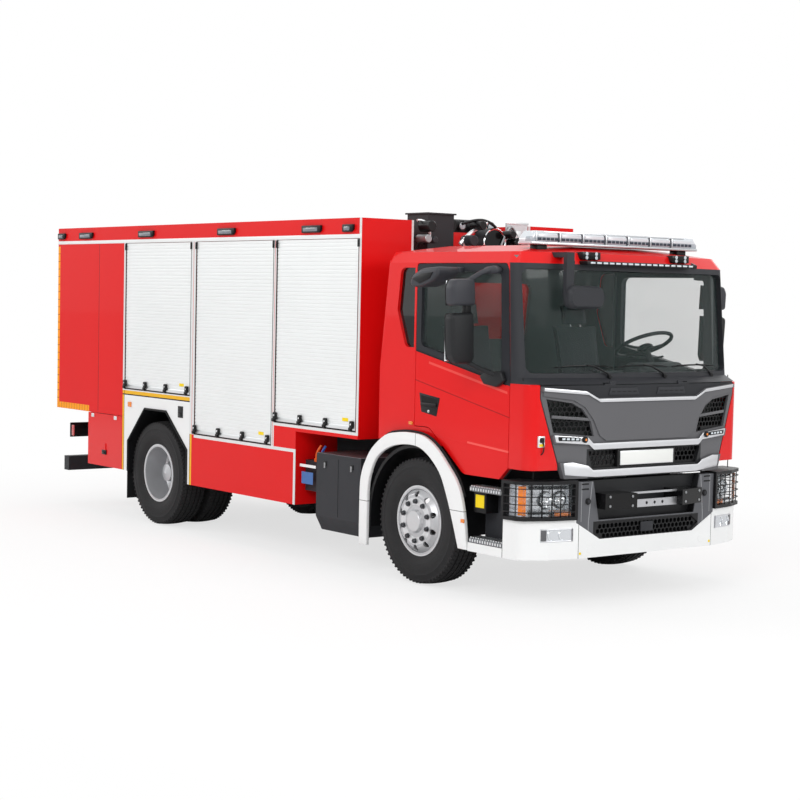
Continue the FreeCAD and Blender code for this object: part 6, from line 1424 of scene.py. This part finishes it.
# How far left and up the small cylinders lie, and their radii.
CYLINDERS = ((-0.56, 3.04, 0.05, "black"), (-0.6, 2.93, 0.038, "steel"), (-0.52, 2.92, 0.03, "dark"),
             (0.395, 3.0, 0.036, "black"), (0.455, 2.93, 0.045, "gloss"), (-0.075, 2.93, 0.05, "dark"),
             (0.03, 3.07, 0.042, "black"))
PIPES = (
    ([(-0.8, -0.64, 3.09), (-0.79, -0.56, 3.1), (-0.78, -0.5, 2.99), (-0.8, -0.5, 2.9)],
     0.013, "rail"),
    ([(-0.79, -0.15, 2.9), (-0.78, -0.05, 3.0), (-0.78, 0.05, 3.05), (-0.78, 0.15, 3.1)],
     0.019, "rail"),
    ([(-0.78, -0.14, 3.08), (-0.77, 0.02, 3.13), (-0.78, 0.2, 3.11), (-0.78, 0.26, 3.06)],
     0.014, "black"),
    ([(-0.78, 0.33, 2.9), (-0.77, 0.4, 3.06), (-0.78, 0.47, 3.08), (-0.78, 0.52, 2.99)],
     0.012, "steel"))
CLAMPS = (((-0.79, 0.47, 2.96), (-0.77, 0.56, 3.04), "rail"),
          ((-0.8, -0.13, 2.86), (-0.77, -0.02, 2.96), "rail"),
          ((-0.79, 0.56, 2.9), (-0.775, 0.66, 2.96), "steel"))
MAST_RIM = [(0.0, 0.0), (0.0, 0.046), (0.01, 0.05), (0.016, 0.046), (0.01, 0.036), (0.012, 0.0)]
MAST_LENS = [(0.008, 0.0), (0.011, 0.035), (0.015, 0.03), (0.017, 0.0)]


def on_reel(angle):
    """A place on the rim of the reel."""
    x, y, z = REEL
    return (x, y + REEL_RADIUS * math.cos(angle), z + REEL_RADIUS * math.sin(angle))


def roof_gear_details():
    """The drum's rim, the reel, the plate's edge, cylinders and pipes, and the mast's lamps."""
    piece = Piece("roof_gear_details", "black_plastic")
    piece.lathe(DRUM_RIM, "x", DRUM_CENTRE, "chrome")
    piece.lathe(DRUM_FACE, "x", DRUM_CENTRE, "gloss")
    piece.tube([on_reel(step * math.pi / 12) for step in range(24)], 0.014, "black", closed=True)
    for turn in range(6):
        piece.tube([REEL, on_reel(turn * math.pi / 3)], 0.008, "black")
    x, y, z = REEL
    piece.drum("x", (x - 0.11, y, z), 0.04, 0.14, "black", 0.008, 28)
    piece.block((x - 0.12, -0.64, 2.6), (x - 0.09, -0.54, 2.82), "dark", 0.006)
    piece.block((-0.803, 0.402, 3.1), (-0.795, 0.676, 3.122), "rail", 0.003)
    for y, z, radius, look in CYLINDERS:
        piece.drum("x", (-0.83, y, z), radius, 0.15, look, 0.006, 28)
        piece.drum("x", (-0.752, y, z), radius * 0.6, 0.01, "rail", 0.003, 24)
    for route, radius, look in PIPES:
        piece.tube(route, radius, look, "NURBS")
    for low, high, look in CLAMPS:
        piece.block(low, high, look, 0.006)
    piece.done()
    head = Piece("mast_lamp_faces", "lamp_glass", "mast")
    for y in (-0.13, 0.02, 0.215, 0.365):
        head.lathe(MAST_RIM, "x", (-0.98, y, 3.072), "black", 32)
        head.lathe(MAST_LENS, "x", (-0.98, y, 3.072), "clear_lens", 32)
    head.done()


# Rear

TAIL_X = -6.56
TAIL_LENS = [(0.0, 0.0), (0.0, 0.034), (0.006, 0.033), (0.01, 0.026), (0.011, 0.0)]


def rear_details():
    """Tail lamps, reflectors, the blank rear plate, the shutter's handle and the grab rails beside it."""
    piece = Piece("rear_details", "black_plastic")
    x = TAIL_X
    for side in (-1, 1):
        piece.beside(side, (x - 0.004, x + 0.012), (0.806, 1.084), (0.738, 0.902), "black", 0.006)
        for out, look in ((1.03, "amber"), (0.945, "red_lens"), (0.86, "clear_lens")):
            piece.lathe(TAIL_LENS, (-1, 0, 0), (x - 0.003, side * out, 0.82), look, 28)
        span = (x - 0.002, x + 0.01)
        piece.beside(side, span, (1.17, 1.225), (1.23, 1.33), "red_lens", 0.004)
        piece.beside(side, span, (0.96, 1.08), (2.975, 3.03), "red_lens", 0.004)
        piece.beside(side, (-6.5, -6.44), (1.088, 1.094), (0.76, 0.88), "red_lens")
    piece.block((x - 0.001, -0.27, 1.07), (x + 0.008, 0.27, 1.19), "plate", 0.003)
    piece.block((x - 0.004, -0.2, 1.3), (x + 0.014, 0.2, 1.322), "black", 0.005)
    for y in (-0.64, 0.64):
        rail = [(x - 0.004, y, 1.3), (x - 0.03, y, 1.33), (x - 0.03, y, 2.44), (x - 0.004, y, 2.47)]
        piece.tube(rail, 0.011, "rail")
    piece.done()


def flap_details():
    """Hinge knobs and the black handle of each locker flap."""
    for side, word in SIDES:
        piece = Piece(f"flap_details_{word}", "black_plastic", f"flap_{word}")
        piece.beside(side, (-5.468, -5.372), (1.249, 1.262), (0.64, 0.69), "black", 0.006)
        piece.beside(side, (-5.452, -5.388), (1.26, 1.268), (0.652, 0.672), "gloss")
        for x in (-5.69, -5.18):
            piece.beside(side, (x - 0.03, x + 0.03), (1.249, 1.259), (1.03, 1.07), "rail", 0.005)
        piece.done()


# Seats

SOFT_EDGE, EDGE_DROP = 0.72, 0.3
CHANNEL_HALF, CHANNEL_SINK = 0.075, 0.16
SIDE_DRAW, WAIST_DRAW = 0.035, 0.05
BACK_FOOT, BACK_SLOPE = 1.66, 0.22
SEAT_Y = 0.64
# The foot, the top and the inset of each part of a seat's stand.
STAND = ((1.25, 1.33, 0.13), (1.33, 1.545, 0.155), (1.545, 1.585, 0.115))


def pillow(low, high, crown, channels=(), axis="z"):
    """A stuffed form: crowned faces, sides drawn in between its corners, and sewn channels across."""
    shape = bmesh.new()
    bmesh.ops.create_cube(shape, size=2.0)
    bmesh.ops.subdivide_edges(shape, edges=shape.edges[:], cuts=15, use_grid_fill=True)
    low, high = Vector(low), Vector(high)
    middle, half = (low + high) / 2, (high - low) / 2
    thick = "xyz".index(axis)
    wide, long = [number for number in range(3) if number != thick]
    for vert in shape.verts:
        place = vert.co.copy()
        across, along, up = place[wide], place[long], place[thick]
        bulge = (1 - abs(across) ** 3) * (1 - abs(along) ** 3)
        edge = max(abs(across), abs(along))
        soft = 1 - EDGE_DROP * max(0.0, edge - SOFT_EDGE) / (1 - SOFT_EDGE)
        channel = max([0.0] + [1 - abs(along - share) / CHANNEL_HALF for share in channels])
        sink = CHANNEL_SINK * channel * (abs(up) > 0.5)
        vert.co[thick] = middle[thick] + half[thick] * up * (1 - crown + crown * bulge) * soft * (1 - sink)
        waist = 1 - WAIST_DRAW * (1 - up * up) if edge > 0.99 else 1.0
        vert.co[wide] = middle[wide] + half[wide] * across * (1 - SIDE_DRAW * (1 - along * along)) * waist
        vert.co[long] = middle[long] + half[long] * along * (1 - SIDE_DRAW * (1 - across * across)) * waist
    return shape


def leaning(shape):
    """A form of the seat's back, leaned back above its foot."""
    for vert in shape.verts:
        vert.co.x -= max(0.0, vert.co.z - BACK_FOOT) * BACK_SLOPE
    return shape


def seats():
    """Two sprung driving seats with sewn cushions, backs and head rests on their stands."""
    stands = Piece("seat_stands", "seat_fabric")
    for side, word in SIDES:
        y = side * SEAT_Y
        for low_z, high_z, inset in STAND:
            stands.block((0.08 + inset, y - 0.25 + inset, low_z),
                         (0.56 - inset, y + 0.25 - inset, high_z), "black", 0.012)
        cushion = Piece(f"seat_cushion_{word}", "seat_fabric")
        cushion.add(pillow((0.085, y - 0.245, 1.575), (0.556, y + 0.245, 1.688), 0.34, (-0.42, 0.42)),
                    "seat", 1.0)
        for edge in (y - 0.19, y + 0.19):
            cushion.add(pillow((0.1, edge - 0.05, 1.6), (0.545, edge + 0.05, 1.69), 0.5), "seat", 1.0)
        made = cushion.done()
        back = Piece(f"seat_back_{word}", "seat_fabric")
        for low, high, crown, channels in (
                ((-0.05, y - 0.24, 1.66), (0.062, y + 0.24, 2.18), 0.34, (-0.45, 0.05, 0.5)),
                ((-0.03, y - 0.135, 2.195), (0.06, y + 0.135, 2.362), 0.4, ())):
            back.add(leaning(pillow(low, high, crown, channels, "x")), "seat", 1.0)
        made = back.done()
        for edge in (y - 0.06, y + 0.06):
            post = [(0.02 - BACK_SLOPE * 0.45, edge, 2.11), (0.02 - BACK_SLOPE * 0.58, edge, 2.24)]
            stands.tube(post, 0.007, "chrome")
        lever = [(0.03, y + side * 0.262, 1.64), (0.06, y + side * 0.268, 1.61),
                 (0.12, y + side * 0.262, 1.56)]
        stands.tube(lever, 0.016, "black")
    stands.done("cab_seats")


# Camera and light

CAMERA_PLACE = (14.0311, -10.3013, 2.4266)
CAMERA_YAW, CAMERA_PITCH, CAMERA_ROLL = 2.485072, -0.059585, -0.0208997
FOCAL_PIXELS, PHOTO_PIXELS, SENSOR = 1759.83, 800, 36.0
# Each lamp's place, what it aims at, its width, its height and its power.
LAMPS = {
    "key": ((9.0, -13.0, 9.0), (0.5, 0.0, 1.4), 9.0, 6.0, 900.0),
    "front": ((16.0, 4.0, 7.5), (2.5, 0.0, 1.4), 8.0, 5.0, 620.0),
    "rear": ((-12.0, -9.0, 8.0), (-2.0, 0.0, 1.4), 8.0, 5.0, 480.0),
    "left": ((-2.0, 13.0, 9.0), (0.0, 0.0, 1.4), 9.0, 6.0, 420.0),
    "top": ((0.0, 0.0, 13.0), (0.0, 0.0, 0.0), 10.0, 6.0, 380.0),
}
CAMERA_REACH = 400.0
SKY_LEVEL = 0.5
FLOOR_GLOW, FLOOR_FADE = 0.7, 2.5
FLOOR_OVAL, FLOOR_SIZE = (5.5, 3.4), 150.0


def set_camera():
    """The photograph's viewpoint."""
    ahead = Vector((math.cos(CAMERA_YAW) * math.cos(CAMERA_PITCH),
                    math.sin(CAMERA_YAW) * math.cos(CAMERA_PITCH), math.sin(CAMERA_PITCH)))
    data = bpy.data.cameras.new("camera")
    data.sensor_width = SENSOR
    data.lens = FOCAL_PIXELS / PHOTO_PIXELS * SENSOR
    data.clip_end = CAMERA_REACH
    camera = placed("camera", data)
    camera.location = CAMERA_PLACE
    camera.rotation_mode = "QUATERNION"
    camera.rotation_quaternion = ahead.to_track_quat("-Z", "Y") @ Quaternion((0, 0, 1), -CAMERA_ROLL)
    bpy.context.scene.camera = camera


def set_lights():
    """Soft studio lamps, and a white surround that lights less than it shows."""
    for name, (place, aim, width, height, power) in LAMPS.items():
        light = bpy.data.lights.new(name, "AREA")
        light.shape = "RECTANGLE"
        light.size = width
        light.size_y = height
        light.energy = power
        lamp = placed(name, light)
        lamp.location = place
        lamp.rotation_euler = (Vector(aim) - Vector(place)).to_track_quat("-Z", "Y").to_euler()
    world = bpy.data.worlds.new("studio")
    bpy.context.scene.world = world
    nodes = Nodes(world)
    sky = nodes.tree.nodes["Background"]
    sky.inputs["Color"].default_value = (1, 1, 1, 1)
    seen = nodes.ray("Camera") | nodes.ray("Transmission") | nodes.ray("Glossy")
    nodes.feed(sky.inputs["Strength"], seen * (1 - SKY_LEVEL) + SKY_LEVEL)


def set_floor():
    """A pale floor that glows for the camera, the more the farther it lies from the vehicle."""
    finish = Finish("floor", rgb(248, 248, 248), 0.9)
    far_x, far_y = finish.x / FLOOR_OVAL[0], finish.y / FLOOR_OVAL[1]
    away = ((far_x * far_x + far_y * far_y - 1.0) / FLOOR_FADE).clamped()
    away = away * (1 - FLOOR_GLOW) + FLOOR_GLOW
    shaders = {0: away * finish.ray("Camera"), 1: Signal(finish, finish.shader.outputs[0]),
               2: finish.node("Emission")}
    surface = finish.tree.nodes["Material Output"].inputs["Surface"]
    finish.feed(surface, finish.node("MixShader", sockets=shaders))
    shape = bmesh.new()
    bmesh.ops.create_grid(shape, x_segments=1, y_segments=1, size=FLOOR_SIZE)
    mesh = mesh_of("floor", shape)
    mesh.materials.append(finish.material)
    floor = placed("floor", mesh)
    bpy.context.scene.view_settings.view_transform = "Standard"


for make in (set_camera, set_lights, set_floor, roller_shutters, shutter_latches, body_trim, flood_lamps,
             front_bands, front_hitch_fittings, headlamp_parts, corner_brackets, wipers, cowl,
             light_bar_parts, roof_lights, tyres, wheel_nuts, door_details, front_arches, mirror_heads,
             cab_side_trim, chassis_box_details, dashboard, roof_gear_details, rear_details, flap_details,
             seats):
    make()
